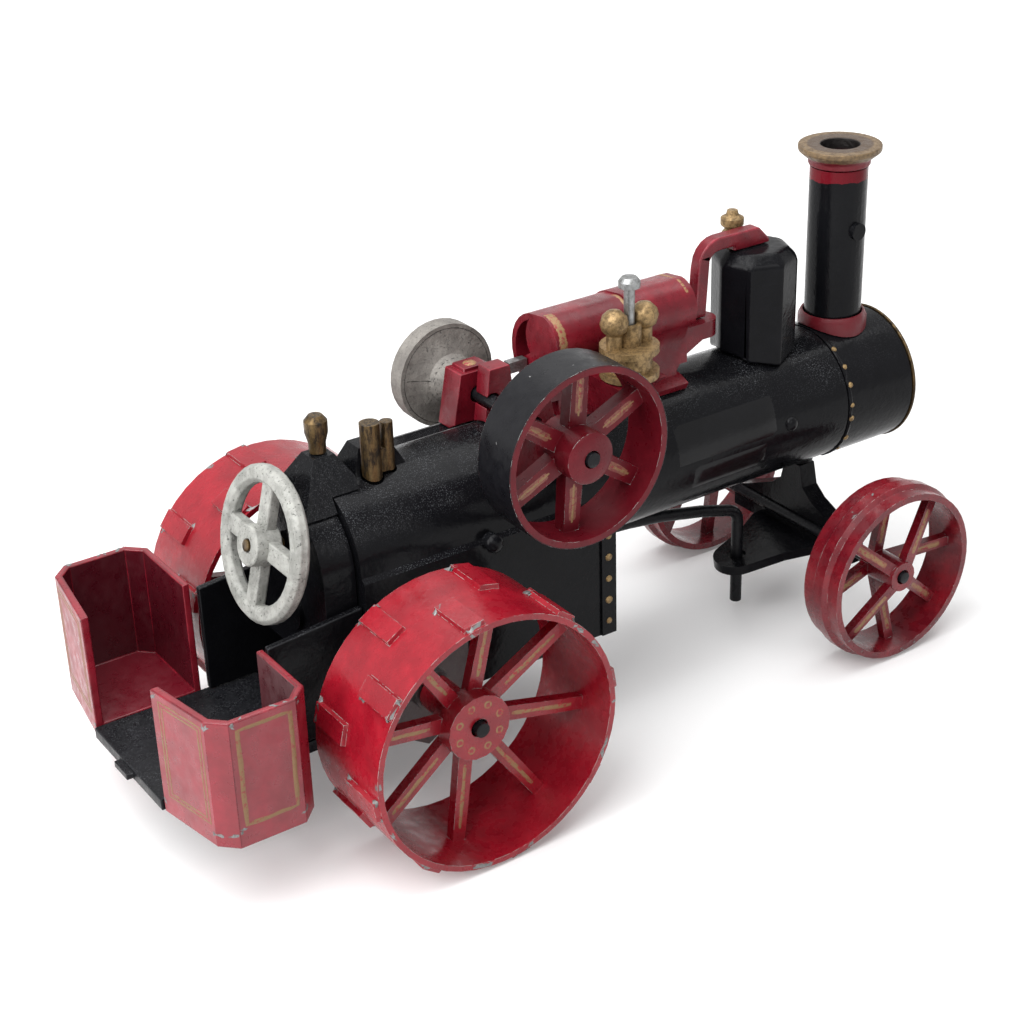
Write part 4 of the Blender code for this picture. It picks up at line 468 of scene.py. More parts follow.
def above(height, waver=0.5):
    """Mask of what lies above a height, with a hand-painted edge."""
    def mask(n):
        level = n.plus(n.split(n.place)["Z"], n.pattern("wavering edge", -waver * MM, waver * MM))
        return n.ramp(level, (height - PAINT_EDGE) * MM, (height + PAINT_EDGE) * MM)
    return mask


def below(height):
    """Mask of what lies below a height, with a straighter edge."""
    def mask(n):
        return n.minus(1.0, above(height, STRAIGHT_WAVER)(n))
    return mask


def in_bore(radius):
    """Mask of what lies within a radius of the chimney's middle."""
    def mask(n):
        place = n.split(n.place)
        reach = n.reach(n.minus(place["X"], point(CHIMNEY_X, 0, 0).x), place["Y"])
        return n.ramp(reach, (radius + BORE_OUTSIDE) * MM, (radius - BORE_INSIDE) * MM)
    return mask


def inward_shade(n):
    """Mask of painted shade: walls that face the middle of a bunker, on either side, painted darker as the
    shade inside it.
    """
    middle = point(BUNKER_MIDDLE_X, BUNKER_MIDDLE_Y, 0)
    place = n.split(n.place)
    facing = n.split(n.add("ShaderNodeTexCoord").outputs["Normal"])
    forward = n.times(n.minus(middle.x, place["X"]), facing["X"])
    outward = n.minus(middle.y, n.math("ABSOLUTE", place["Y"]))
    across = n.times(n.times(outward, n.math("SIGN", place["Y"])), facing["Y"])
    return n.ramp(n.plus(forward, across), INWARD_FROM * MM, INWARD_TO * MM)


def bunker_floor(n):
    """Mask of the bunkers' floors: faces that look up and lie low."""
    return n.times(n.ramp(n.upward(), *LEVEL_TILT), below(BUNKER_FLOOR)(n))


def enamel(name, colour, deep, roughness, chips=0.0, edge=0.0, dust=0.0, lumps=0.35, gloss=0.3, other=()):
    """Brushed-on enamel: uneven colour, brush marks and lumps of the casting, dust, chipped places.

    Paint has come off by chips on faces, or by edge on rounded edges. Other holds pairs of a second
    colour and the mask of where it is.
    """
    n = Look(name)
    brush = n.noise("brush marks")
    base = n.mix(n.pattern("colour patches"), deep, colour)
    base = n.mix(n.ramp(brush, *SPANS["brush marks"], BRUSH_MARK_SHARE, 0.0), base, deep)
    for second, mask in other:
        base = n.mix(mask(n), base, second)
    rough = n.pattern("gloss", roughness * ENAMEL_GLOSSY, roughness * ENAMEL_MATT)
    height = n.times(brush, lumps)
    if dust:
        speckled = n.times(n.pattern("dust"), n.pattern("dust clouds", DUST_BETWEEN_CLOUDS, 1.0))
        lying = n.times(n.ramp(n.upward(), *DUSTY_TILT, DUST_ON_WALLS, 1.0), dust)
        share = n.times(speckled, lying)
        base = n.mix(share, base, BLACK_DUST)
        rough = n.mix(share, rough, DUST_ROUGHNESS, "FLOAT")
    if chips or edge:
        level = EDGE_CHIPS - edge * EDGE_CHIPS_GAIN if edge else FACE_CHIPS - chips * FACE_CHIPS_GAIN
        share = n.ramp(n.noise("chips"), level, level + CHIP_SOFTNESS)
        base = n.mix(share, base, n.mix(n.noise("metal shades"), METAL_SHADE, METAL))
        rough = n.mix(share, rough, CHIP_ROUGHNESS, "FLOAT")
        height = n.minus(height, n.times(share, CHIP_DEPTH))
    height = n.plus(height, n.times(n.noise("fine grain"), GRAIN_HEIGHT))
    height = n.plus(height, n.times(n.noise("casting lumps"), CASTING_HEIGHT))
    n.shade("Base Color", base)
    n.shade("Roughness", rough)
    n.shade("Specular IOR Level", gloss)
    n.relief("enamel", height)
    return n.material


def metallic_paint(name, colour, deep, roughness, metallic=0.35, z_scale=1.0, other=()):
    """Thin bronze or gold paint, streaked dark where it lies thin."""
    n = Look(name)
    streak = n.pattern("streaks", z_scale=z_scale)
    base = n.mix(streak, deep, colour)
    base = n.mix(n.times(n.pattern("metal flakes"), FLAKE_SHARE), base, deep)
    for second, mask in other:
        base = n.mix(mask(n), base, second)
    n.shade("Base Color", base)
    n.shade("Roughness", n.ramp(streak, 0, 1, roughness * STREAK_MATT, roughness * STREAK_GLOSSY))
    n.shade("Metallic", metallic)
    n.relief("metallic paint", n.plus(n.noise("paint grain", z_scale), n.noise("thick paint")))
    return n.material


def worn_line(name, under, colour=GOLD, metallic=0.25, rubbed=0.40):
    """Hand-drawn gold line, rubbed through to the paint under it where the noise is below a level."""
    n = Look(name)
    base = n.mix(n.ramp(n.noise("rubbed places"), rubbed, rubbed + RUBBED_SOFTNESS), under, colour)
    base = n.mix(n.pattern("dark specks", 0.0, SPECK_SHARE), base, GOLD_DARK)
    n.shade("Base Color", base)
    n.shade("Roughness", LINE_ROUGHNESS)
    n.shade("Metallic", metallic)
    n.relief("line", n.noise("line grain"))
    return n.material


def worn_paint(name, colour, dirt, roughness, spots=0.5):
    """Chalky old paint with dark dirt in its pores and low places."""
    n = Look(name)
    base = n.mix(n.times(n.pattern("dirt clouds"), DIRT_SHARE), colour, dirt)
    stains = n.times(n.pattern("stains"), spots * STAIN_SHARE)
    share = n.math("MAXIMUM", n.times(n.pattern("pores"), spots), stains)
    n.shade("Base Color", n.mix(share, base, PORE_DIRT))
    n.shade("Roughness", roughness)
    height = n.minus(n.noise("crust"), n.times(share, PORE_DEPTH))
    n.relief("worn paint", n.plus(height, n.noise("soft lumps")))
    return n.material


def bare_metal(name, colour, roughness):
    """Bare metal, tarnished and finely scratched."""
    n = Look(name)
    n.shade("Base Color", n.mix(n.pattern("tarnish"), colour, TARNISH))
    n.shade("Roughness", n.pattern("metal gloss", roughness, roughness * TARNISH_ROUGHNESS))
    n.shade("Metallic", METALNESS)
    n.relief("metal", n.noise("scratches", SCRATCH_Z_SCALE))
    return n.material


RED = dict(roughness=0.28, lumps=0.45, gloss=0.42)
JET = dict(roughness=0.16, lumps=0.8, gloss=0.09)

PAINT = {
    "black": enamel("black enamel", BLACK, DEEP_BLACK_AND_BORE_SHADE, dust=0.8, **JET),
    "jet": enamel("black enamel, clean", JET_BLACK, DEEP_BLACK_AND_BORE_SHADE, dust=0.25, **JET),
    # Painted shade: the chimney's bore is painted in the blackest paint
    "chimney": enamel("chimney enamel", BLACK, DEEP_BLACK_AND_BORE_SHADE, dust=0.2, **JET,
                      other=[(COLLAR_RED, above(CHIMNEY_COLLAR)), (DEEP_BLACK_AND_BORE_SHADE, in_bore(CHIMNEY_BORE))]),
    # Painted shade: the cap's bore is painted in the blackest paint
    "cap": metallic_paint("cap bronze paint", CAP, CAP_DEEP, roughness=0.5,
                          other=[(CAP_MIDDLE, in_bore(CAP_HOLLOW)), (COLLAR_RED, below(CAP_COLLAR)),
                                 (DEEP_BLACK_AND_BORE_SHADE, in_bore(CAP_BORE))]),
    "black_flat": enamel("black enamel, dull", DULL_BLACK, BLACK, roughness=0.30, dust=0.5, lumps=0.9,
                         gloss=0.14),
    "crimson": enamel("crimson enamel", CRIMSON, CRIMSON_DEEP, chips=0.5, **RED),
    "wine": enamel("wine-red enamel", WINE, WINE_DEEP, roughness=0.30, lumps=0.45, gloss=0.28),
    "flywheel": enamel("flywheel enamel", FLYWHEEL, WINE_DEEP, roughness=0.34, lumps=0.4, gloss=0.2,
                       other=[(TREAD_BLACK, outside_circle(CRANK_X, CRANK_HEIGHT, FLYWHEEL_RED_TO))]),
    # Painted shade darkens the bunkers' inner walls
    "bunker": enamel("bunker enamel", BUNKER, BUNKER_DEEP, roughness=0.34, chips=0.2, lumps=0.4, gloss=0.6,
                     other=[(BUNKER_FLOOR_RED, bunker_floor), (BUNKER_INSIDE_SHADE, inward_shade)]),
    "front_wheel": enamel("front wheel enamel", FRONT_WHEEL, WINE_DEEP, chips=0.2, **RED),
    "wine_dark": enamel("dark wine enamel", WINE_DARK, WINE_DEEP, roughness=0.4, lumps=0.8, gloss=0.3),
    "wash": worn_line("thin gold wash on wine", UNDER_WASH, GOLD_WASH, metallic=0.1, rubbed=0.42),
    "bronze": metallic_paint("bronze paint", BRONZE, BRONZE_DEEP, roughness=0.5, metallic=0.55),
    "peg": metallic_paint("dark bronze paint", PEG, PEG_DEEP, roughness=0.42, metallic=0.7, z_scale=0.3),
    "white": worn_paint("off-white enamel", WHITE, WHITE_DIRT, roughness=0.62, spots=1.0),
    "grey": worn_paint("grey enamel", GREY, GREY_DIRT, roughness=0.66, spots=0.7),
    "grime": worn_paint("dark seam grime", GRIME, GRIME_DEEP, roughness=0.8),
    "steel": bare_metal("bare steel", STEEL, roughness=0.30),
    "line_wine": worn_line("gold line on wine", UNDER_WINE_LINE),
    "line_crimson": worn_line("gold line on crimson", UNDER_CRIMSON_LINE),
    "line_faint": worn_line("faint gold line", UNDER_FAINT_LINE, GOLD_FAINT, rubbed=0.38),
    "rivet": metallic_paint("gold rivet paint", RIVET, RIVET_DEEP, roughness=0.5, metallic=0.3),
    "raw": bare_metal("raw casting", RAW_CASTING, roughness=0.32),
    "flake": bare_metal("chipped metal", CHIPPED, roughness=0.45),
    "worn_edge": worn_paint("worn bright edge", WORN, WORN_DEEP, roughness=0.5, spots=1.0),
    "label": enamel("raised band enamel", BAND_BLACK, BAND_PATCHES, roughness=0.18, lumps=0.15, gloss=0.18),
}
EDGE_PAINT = {
    "black": enamel("black enamel, edges", BLACK_EDGE, BLACK, dust=0.9, **JET),
    "crimson": enamel("crimson enamel, edges", CRIMSON, CRIMSON_DEEP, edge=0.55, **RED),
    "front_wheel": enamel("front wheel enamel, edges", FRONT_WHEEL_EDGE, WINE_DEEP, edge=0.2, **RED),
    "bunker": enamel("bunker enamel, edges", BUNKER_EDGE, WINE_DEEP, chips=1.6, **RED),
    "wine": enamel("wine-red enamel, edges", WINE_EDGE, WINE_DEEP, **RED),
    "flywheel": enamel("flywheel enamel, edges", FLYWHEEL_EDGE, WINE_DEEP, roughness=0.34, edge=0.3),
}
NODE_PAINT = {
    "black": ["backhead", "boiler_barrel", "firebox", "side_frame_left", "side_frame_right"],
    "jet": ["smokebox", "steam_dome", "smokebox_door", "bolster_pad", "front_bolster"],
    "chimney": ["chimney"],
    "black_flat": ["crankshaft", "front_axle", "platform_floor", "reach_rod", "rear_axle"],
    "raw": ["axle_bracket_left", "axle_bracket_right"],
    "crimson": ["rear_wheel_left", "rear_wheel_right"],
    "front_wheel": ["front_wheel_left", "front_wheel_right"],
    "flywheel": ["flywheel"],
    "wine": ["bearing_left", "bearing_right", "crosshead_guide", "cylinder_block", "steam_pipe"],
    "wine_dark": ["chimney_base_ring"],
    "bunker": ["bunker_left", "bunker_right"],
    "bronze": ["governor", "safety_valve"],
    "cap": ["chimney_cap"],
    "peg": ["throttle_peg", "water_valves", "smokebox_ring", "steering_column"],
    "white": ["steering_wheel"],
    "grey": ["clutch_disc"],
    "steel": ["governor_screw", "kingpin", "slide_bar"],
}


def dress_node(name, paint):
    """Gives a CAD node its paint and soft, cast edges."""
    obj = NODES[name]
    obj.data.materials.clear()
    obj.data.materials.append(PAINT[paint])
    obj.data.materials.append(EDGE_PAINT.get(paint, PAINT[paint]))
    weld = obj.modifiers.new("weld", "WELD")
    weld.merge_threshold = WELD_DISTANCE * MM
    width = SOFT_EDGES.get(name, USUAL_EDGE)
    bevel = obj.modifiers.new("cast edges", "BEVEL")
    bevel.width = width * MM
    bevel.segments = 4 if width > SMALL_EDGE else 2
    bevel.material = 1
    bevel.limit_method = "ANGLE"
    bevel.angle_limit = math.radians(ROUNDED_ANGLE)
    bevel.use_clamp_overlap = name != "steam_dome"
    if name == "steering_wheel":
        puff = obj.modifiers.new("thick paint", "DISPLACE")
        puff.strength = PUFFED_PAINT * MM
        puff.mid_level = 0.0
    obj.data.shade_smooth()
    soft = obj.modifiers.new("shading", "WEIGHTED_NORMAL")
    soft.keep_sharp = True
    soft.weight = FLAT_FACE_WEIGHT


def new_object(name, data):
    """Adds an object to the scene."""
    obj = bpy.data.objects.new(name, data)
    bpy.context.scene.collection.objects.link(obj)
    return obj


SURFACES = {}


def touch(node, start, direction):
    """Where a line first meets a node, and the way that the surface faces there."""
    if node not in SURFACES:
        shape = bmesh.new()
        shape.from_mesh(NODES[node].data)
        SURFACES[node] = BVHTree.FromBMesh(shape)
        shape.free()
    place, normal = SURFACES[node].ray_cast(start, direction.normalized())[:2]
    if place is None:
        return None
    return place, normal if normal.dot(direction) < 0 else -normal


def hits(node, aims):
    """Where lines first meet a node, without those that miss it."""
    found = [touch(node, start, direction) for start, direction in aims]
    return [hit for hit in found if hit]


def piece(name, verts, faces, paint, body):
    """A painted piece that rides on a body."""
    mesh = bpy.data.meshes.new(name)
    mesh.from_pydata(verts, [], faces)
    mesh.materials.append(PAINT[paint])
    mesh.shade_smooth()
    obj = new_object(name, mesh)
    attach(obj, body)


def lines(name, paths, paint, body, width, height=0.04, waver=0.14, closed=False):
    """Brushed lines: low rounded ridges of paint that follow paths of places and surface directions."""
    chance = random.Random(name)
    profile = ((-1, -SUNK), (-LINE_SHOULDER, height), (LINE_SHOULDER, height), (1, -SUNK))
    row = len(profile)
    verts, faces = [], []
    for path in paths:
        count = len(path)
        first = len(verts)
        for i, (place, normal) in enumerate(path):
            before = path[(i - 1) % count][0] if closed or i else place
            after = path[(i + 1) % count][0] if closed or i < count - 1 else place
            side = normal.cross((after - before).normalized()).normalized()
            at_end = not closed and i in (0, count - 1)
            half = width / 2 * (1 + chance.uniform(-waver, waver) * WIDTH_WAVER)
            if at_end:
                half *= LINE_END
            shift = width * chance.uniform(-waver, waver) * PLACE_WAVER
            for share, lift in profile:
                rise = -END_SUNK if at_end else lift
                verts.append(place + (side * (half * share + shift) + normal * rise) * MM)
        for i in range(count if closed else count - 1):
            here, there = first + row * i, first + row * ((i + 1) % count)
            faces += [(here + k, there + k, there + k + 1, here + k + 1) for k in range(row - 1)]
    piece(name, verts, faces, paint, body)


def studs(name, spots, paint, body, radius, height):
    """Small domed heads, each a little different."""
    chance = random.Random(name)
    verts, faces = [], []
    for place, normal in spots:
        across = normal.orthogonal().normalized()
        along = normal.cross(across)
        size = radius * chance.uniform(*STUD_SPREAD)
        first = len(verts)
        for ring in range(STUD_RINGS):
            tilt = math.radians(ring * STUD_TILT)
            for step in range(STUD_STEPS):
                turn = math.tau * step / STUD_STEPS
                flat = (across * math.cos(turn) + along * math.sin(turn)) * size * math.cos(tilt)
                verts.append(place + (flat + normal * (height * math.sin(tilt) - SUNK)) * MM)
        last = len(verts) - STUD_STEPS
        tip = len(verts)
        verts.append(place + normal * (height - SUNK) * MM)
        for ring in range(first, last, STUD_STEPS):
            for step in range(STUD_STEPS):
                a, b = ring + step, ring + (step + 1) % STUD_STEPS
                faces.append((a, b, b + STUD_STEPS, a + STUD_STEPS))
        faces += [(last + step, last + (step + 1) % STUD_STEPS, tip) for step in range(STUD_STEPS)]
    piece(name, verts, faces, paint, body)


def flakes(name, node, aims, body, size, paint="flake"):
    """Places where the paint has chipped off, shaped at random and laid on the node's surface."""
    chance = random.Random(name)
    verts, faces = [], []
    for start, direction in aims:
        hit = touch(node, start, direction)
        if hit is None:
            continue
        across = direction.orthogonal().normalized()
        along = direction.cross(across).normalized()
        turned = chance.uniform(0, math.tau)
        length, width = size * chance.uniform(*CHIP_LENGTHS), size * chance.uniform(*CHIP_WIDTHS)
        lengthwise = (across * math.cos(turned) + along * math.sin(turned)) * length
        widthwise = (along * math.cos(turned) - across * math.sin(turned)) * width
        ring = []
        for step in range(CHIP_STEPS):
            turn = math.tau * step / CHIP_STEPS
            reach = chance.uniform(*CHIP_REACHES)
            shift = (lengthwise * math.cos(turn) + widthwise * math.sin(turn)) * reach
            spot = touch(node, start + shift * MM, direction)
            if spot and (spot[0] - hit[0]).length < CHIP_SPREAD * size * MM:
                ring.append(spot[0] + spot[1] * CHIP_RIM_LIFT * MM)
        if len(ring) < CHIP_LEAST_STEPS:
            continue
        first = len(verts)
        verts += [hit[0] + hit[1] * CHIP_MIDDLE_LIFT * MM, *ring]
        faces += [(first, first + 1 + k, first + 1 + (k + 1) % len(ring)) for k in range(len(ring))]
    piece(name, verts, faces, paint, body)


def most(aims, chance):
    """Most of the aims, picked at random."""
    return [aim for aim in aims if chance.random() < CHIPS_KEPT]


def inward(side):
    """From one side toward the middle."""
    return Vector((0, -side, 0))


def side_aim(centre, side, ahead, up):
    """A line aimed across a wheel from its outer side, ahead of its centre and above it."""
    return centre + Vector((ahead, side * ASIDE, up)) * MM, inward(side)


def wheel_aim(centre, side, angle, radius):
    """A line aimed across a wheel from its outer side, at an angle from straight up and a radius."""
    turn = math.radians(angle)
    return side_aim(centre, side, math.sin(turn) * radius, math.cos(turn) * radius)


def tread_aim(centre, angle, across):
    """A line aimed at a wheel's axis from beyond its tread."""
    turn = math.radians(angle)
    outward = Vector((math.sin(turn), 0, math.cos(turn)))
    return centre + (Vector((0, across, 0)) + outward * AROUND) * MM, -outward


def around_aim(centre, angle):
    """A line aimed at an axis along X, at an angle from straight up toward the left side."""
    turn = math.radians(angle)
    outward = Vector((0, math.sin(turn), math.cos(turn)))
    return centre + outward * AROUND * MM, -outward


def spoke_paths(node, centre, side, angles, inner, outer, steps=7):
    """Paths along a wheel's spokes, from an inner to an outer radius."""
    radii = [inner + (outer - inner) * i / steps for i in range(steps + 1)]
    return [hits(node, [wheel_aim(centre, side, angle, radius) for radius in radii]) for angle in angles]


def ring_path(node, centre, side, radius, angle=0, out=0, steps=12):
    """A ring on a wheel's side, round a middle that lies out from the centre at an angle."""
    middle = math.radians(angle)
    aims = []
    for step in range(steps):
        turn = math.tau * step / steps
        ahead = math.sin(middle) * out + math.cos(turn) * radius
        up = math.cos(middle) * out + math.sin(turn) * radius
        aims.append(side_aim(centre, side, ahead, up))
    return hits(node, aims)


def arc_path(node, centre, start, end, steps=12):
    """Around a body along X, from one angle to another."""
    angles = [start + (end - start) * i / steps for i in range(steps + 1)]
    return hits(node, [around_aim(centre, angle) for angle in angles])


def panel_path(node, corner, wide, tall, direction, steps=6):
    """A closed path round a rectangle, aimed at a node's face."""
    corners = [(0, 0), (1, 0), (1, 1), (0, 1)]
    aims = []
    for (u0, v0), (u1, v1) in zip(corners, corners[1:] + corners[:1]):
        for i in range(steps):
            u, v = u0 + (u1 - u0) * i / steps, v0 + (v1 - v0) * i / steps
            aims.append((corner + (wide * u + tall * v) * MM, direction))
    return hits(node, aims)


def rear_wheel_details(label, side):
    """Gold lines on the spokes and hub, and chips on the lugs, tread and rim."""
    node = f"rear_wheel_{label}"
    centre = point(0, 0, REAR_AXLE_HEIGHT)
    spokes = spoke_paths(node, centre, side, REAR_SPOKES, inner=8.4, outer=23.6)
    lines(f"{node}.spoke_lines", spokes, "line_crimson", node, width=1.1)
    rings = [ring_path(node, centre, side, radius=0.66, angle=angle, out=4.8) for angle in HUB_RINGS]
    lines(f"{node}.hub_rings", rings, "line_crimson", node, width=0.52, closed=True)
    chance = random.Random(node)
    aims = []
    for k, lug in enumerate(REAR_LUGS):
        row = k % 2
        for _ in range(CHIPS_ON_LUG):
            end = chance.choice(LUG_ENDS[row])
            angle = lug + chance.choice(LUG_SIDES) + chance.uniform(*LUG_TURN_WANDER)
            across = side * (end + chance.uniform(*LUG_ACROSS_WANDER))
            aims.append(tread_aim(centre, angle, across))
        if row == 0:
            aims.append(wheel_aim(centre, side, lug + chance.choice(LUG_SIDES_AT_RIM), LUG_RIM))
    for _ in range(CHIPS_ON_RIM):
        angle = chance.uniform(0, 360)
        aims.append(wheel_aim(centre, side, angle, chance.uniform(*REAR_RIM)))
        aims.append(tread_aim(centre, angle, side * REAR_TREAD_EDGE))
    flakes(f"{node}.chips", node, most(aims, chance), node, size=1.25)
    worn = [wheel_aim(centre, side, angle, WORN_RIM) for angle in WORN_RIM_ANGLES]
    flakes(f"{node}.worn_rim", node, worn, node, size=2.1)


def front_wheel_details(label, side):
    """Gold lines over thin washes on the spokes, and chips on the tread and rim."""
    node = f"front_wheel_{label}"
    centre = point(FRONT_AXLE_X, 0, FRONT_AXLE_HEIGHT)
    spokes = spoke_paths(node, centre, side, FRONT_SPOKES, inner=4.3, outer=16.8)
    lines(f"{node}.spoke_washes", spokes, "wash", node, width=1.9, height=0.015, waver=0.08)
    spokes = spoke_paths(node, centre, side, FRONT_SPOKES, inner=4.8, outer=16.4)
    lines(f"{node}.spoke_lines", spokes, "line_wine", node, width=1.25)
    chance = random.Random(node)
    aims = []
    for _ in range(FRONT_TREAD_CHIPS):
        aims.append(tread_aim(centre, chance.uniform(0, 360), side * chance.uniform(*FRONT_TREAD)))
    for _ in range(FRONT_RIM_CHIPS):
        aims.append(wheel_aim(centre, side, chance.uniform(*FRONT_RIM_ANGLES), chance.uniform(*FRONT_RIM)))
    flakes(f"{node}.chips", node, aims, node, size=0.4)


def flywheel_details():
    """Gold lines over thin washes on the spokes, and scuffs on the tread."""
    node, body, slot = "flywheel", "crankshaft", "wine_red_enamel"
    side = SIDES["right"]
    centre = point(CRANK_X, 0, CRANK_HEIGHT)
    spokes = spoke_paths(node, centre, side, FLYWHEEL_SPOKES, inner=6.6, outer=15.6, steps=6)
    lines("flywheel.spoke_washes", spokes, "wash", body, width=2.3, height=0.015, waver=0.08)
    spokes = spoke_paths(node, centre, side, FLYWHEEL_SPOKES, inner=6.3, outer=15.8, steps=6)
    lines("flywheel.spoke_lines", spokes, "line_wine", body, width=0.75)
    chance = random.Random(node)
    aims = []
    for _ in range(FLYWHEEL_SCUFFS):
        aims.append(tread_aim(centre, chance.uniform(0, 360), chance.uniform(*FLYWHEEL_TREAD)))
    flakes("flywheel.scuffs", node, aims, body, size=0.32, paint="worn_edge")


def disc_details():
    """Round seams and fine cracks on the disc's inner side."""
    node, body, slot = "clutch_disc", "crankshaft", "grey_enamel"
    side = SIDES["right"]
    centre = point(CRANK_X, 0, CRANK_HEIGHT)
    seams = [ring_path(node, centre, side, radius, steps=steps) for radius, steps in DISC_SEAMS]
    lines("clutch_disc.seams", seams, "grime", body, width=0.22, height=0.02, waver=0.3, closed=True)
    cracks = spoke_paths(node, centre, side, DISC_CRACKS, inner=4.9, outer=10.1, steps=8)
    lines("clutch_disc.cracks", cracks, "grime", body, width=0.2, height=0.02, waver=0.5)


def cylinder_details():
    """Gold bands round the cylinder casting's ends, and gold caps on the bearings."""
    node, body, slot = "cylinder_block", "engine", "wine_red_enamel"
    centre, start, end = CYLINDER_BAND
    band = [arc_path(node, point(*centre), start, end)]
    lines("cylinder.rear_band", band, "line_wine", body, width=2.5, height=0.06, waver=0.08)
    edges = [arc_path(node, point(*centre), start, end) for centre, start, end in CYLINDER_EDGES]
    lines("cylinder.edge_bands", edges, "line_wine", body, width=1.0, height=0.05, waver=0.1)
    for label, side in SIDES.items():
        cap = hits(f"bearing_{label}", [(point(CRANK_X, side * BEARING_CAP_Y, OVERHEAD), DOWN)])
        studs(f"bearing_{label}.cap", cap, "line_wine", body, radius=1.7, height=0.4)


def bunker_details(label, side):
    """Faint gold panels on the rear and outer walls, and chips at their corners and on the top edge."""
    node, body, slot = f"bunker_{label}", "engine", "wine_red_enamel"
    outer = BUNKER_OUTER[label]
    outward = Vector((0, side, 0))
    panels = []
    for inset in REAR_PANEL_INSETS:
        inner = REAR_PANEL_INNER + inset
        wide = outward * (outer - REAR_PANEL_MARGIN - inset - inner)
        tall = UP * (BUNKER_TOP - BUNKER_BOTTOM - 2 * inset)
        corner = point(BEHIND, side * inner, BUNKER_BOTTOM + inset)
        panels.append(panel_path(node, corner, wide, tall, FORWARD))
    lines(f"{node}.rear_panel", panels, "line_faint", body, width=0.55, closed=True)
    corner = point(SIDE_PANEL_X, side * ASIDE, BUNKER_BOTTOM + SIDE_PANEL_RAISED)
    panel = panel_path(node, corner, FORWARD * SIDE_PANEL_LENGTH, UP * SIDE_PANEL_TALL, inward(side))
    lines(f"{node}.side_panel", [panel], "line_faint", body, width=1.1, closed=True)
    corners = []
    for y in (outer - REAR_CORNER_MARGIN, REAR_CORNER_INNER):
        corners.append((point(BEHIND, side * y, 0), outward, FORWARD))
    for x in SIDE_CORNERS_X:
        corners.append((point(x, side * ASIDE, 0), FORWARD, inward(side)))
    chance = random.Random(node)
    aims = []
    for height in CORNER_HEIGHTS:
        for corner, way, direction in corners:
            for _ in range(CORNER_CHIPS):
                aside = way * chance.uniform(-CORNER_WANDER, CORNER_WANDER)
                rise = UP * (height + chance.uniform(-HEIGHT_WANDER, HEIGHT_WANDER))
                aims.append((corner + (aside + rise) * MM, direction))
    for _ in range(TOP_CHIPS):
        place = point(chance.uniform(*TOP_CHIPS_X), side * (outer - TOP_CHIPS_INSET), OVERHEAD)
        aims.append((place, DOWN))
    flakes(f"{node}.chips", node, most(aims, chance), body, size=0.8)


def boiler_details():
    """Rivets, knobs, the smokebox's lap, worn edges on the firebox and the bare raised bands."""
    body, slot = "engine", "black_enamel"
    middle = point(LAP_X, 0, BOILER_HEIGHT)
    laps = []
    for side in SIDES.values():
        laps.append(arc_path("smokebox", middle, LAP_FROM * side, LAP_TO * side, steps=44))
    lines("smokebox.lap", laps, "jet", body, width=0.75, height=0.13, waver=0.4)
    aims = []
    for side in SIDES.values():
        aims += [(point(FIREBOX_RIVETS_X, side * ASIDE, height), inward(side)) for height in FIREBOX_RIVETS]
    studs("firebox.rivets", hits("firebox", aims), "rivet", body, radius=0.85, height=0.5)
    chance = random.Random("seam")
    aims = []
    for rivet in SEAM_RIVETS:
        angle = rivet + chance.uniform(-SEAM_WANDER, SEAM_WANDER)
        if SEAM_TOP < abs(angle) < SEAM_UNDER:
            aims.append(around_aim(point(chance.uniform(*SEAM_X), 0, BOILER_HEIGHT), angle))
    studs("boiler.rivets", hits("smokebox", aims), "rivet", body, radius=0.66, height=0.45)
    side = SIDES["right"]
    boss = hits("boiler_barrel", [(point(BOSS_X, side * ASIDE, BOSS_HEIGHT), inward(side))])
    studs("boiler.boss", boss, "jet", body, radius=1.5, height=1.0)
    aims = [(point(KNOB_X, side * ASIDE, KNOB_HEIGHT), inward(side)) for side in SIDES.values()]
    studs("firebox.knobs", hits("firebox", aims), "jet", body, radius=2.1, height=1.5)
    worn = [hits("firebox", [(point(x, y, OVERHEAD), DOWN) for x in WORN_EDGES_X]) for y in WORN_EDGES_Y]
    lines("firebox.worn_edges", worn, "worn_edge", body, width=0.5)
    for name, sides in BANDS.items():
        raised_band(name, *sides)


def raised_band(name, rear, front, top, bottom):
    """A bare raised band on the barrel's right side, between two ends and two heights."""
    low, high = (math.asin((level - BOILER_HEIGHT) / BOILER_RADIUS) for level in (bottom, top))
    verts, faces = [], []
    for i in range(BAND_ALONG + 1):
        for j in range(BAND_ACROSS + 1):
            border = i in (0, BAND_ALONG) or j in (0, BAND_ACROSS)
            reach = BOILER_RADIUS + (-SUNK if border else BAND_THICKNESS)
            turn = low + (high - low) * j / BAND_ACROSS
            x = rear + (front - rear) * i / BAND_ALONG
            verts.append(point(x, -reach * math.cos(turn), BOILER_HEIGHT + reach * math.sin(turn)))
    row = BAND_ACROSS + 1
    for i in range(BAND_ALONG):
        for j in range(BAND_ACROSS):
            a = i * row + j
            faces.append((a, a + row, a + row + 1, a + 1))
    piece(name, verts, faces, "label", "engine")


def camera():
    """The camera at the photograph's viewing angle."""
    data = bpy.data.cameras.new("camera")
    data.lens = LENS
    data.sensor_width = SENSOR_WIDTH
    data.clip_start = CLIP_NEAR
    data.clip_end = CLIP_FAR
    cam = new_object("camera", data)
    right = CAMERA_RIGHT.normalized()
    back = right.cross(CAMERA_UP).normalized()
    turned = Matrix((right, back.cross(right), back)).transposed().to_4x4()
    cam.matrix_world = Matrix.Translation(point(*CAMERA_PLACE)) @ turned
    bpy.context.scene.camera = cam


def lamp(name, place, target_height, size, power):
    """A soft lamp that shines on the model."""
    data = bpy.data.lights.new(name, "AREA")
    data.shape = "RECTANGLE"
    data.size, data.size_y = size
    data.energy = power
    obj = new_object(name, data)
    obj.location = place
    obj.rotation_mode = "QUATERNION"
    obj.rotation_quaternion = (Vector((0, 0, target_height)) - Vector(place)).to_track_quat("-Z", "Y")


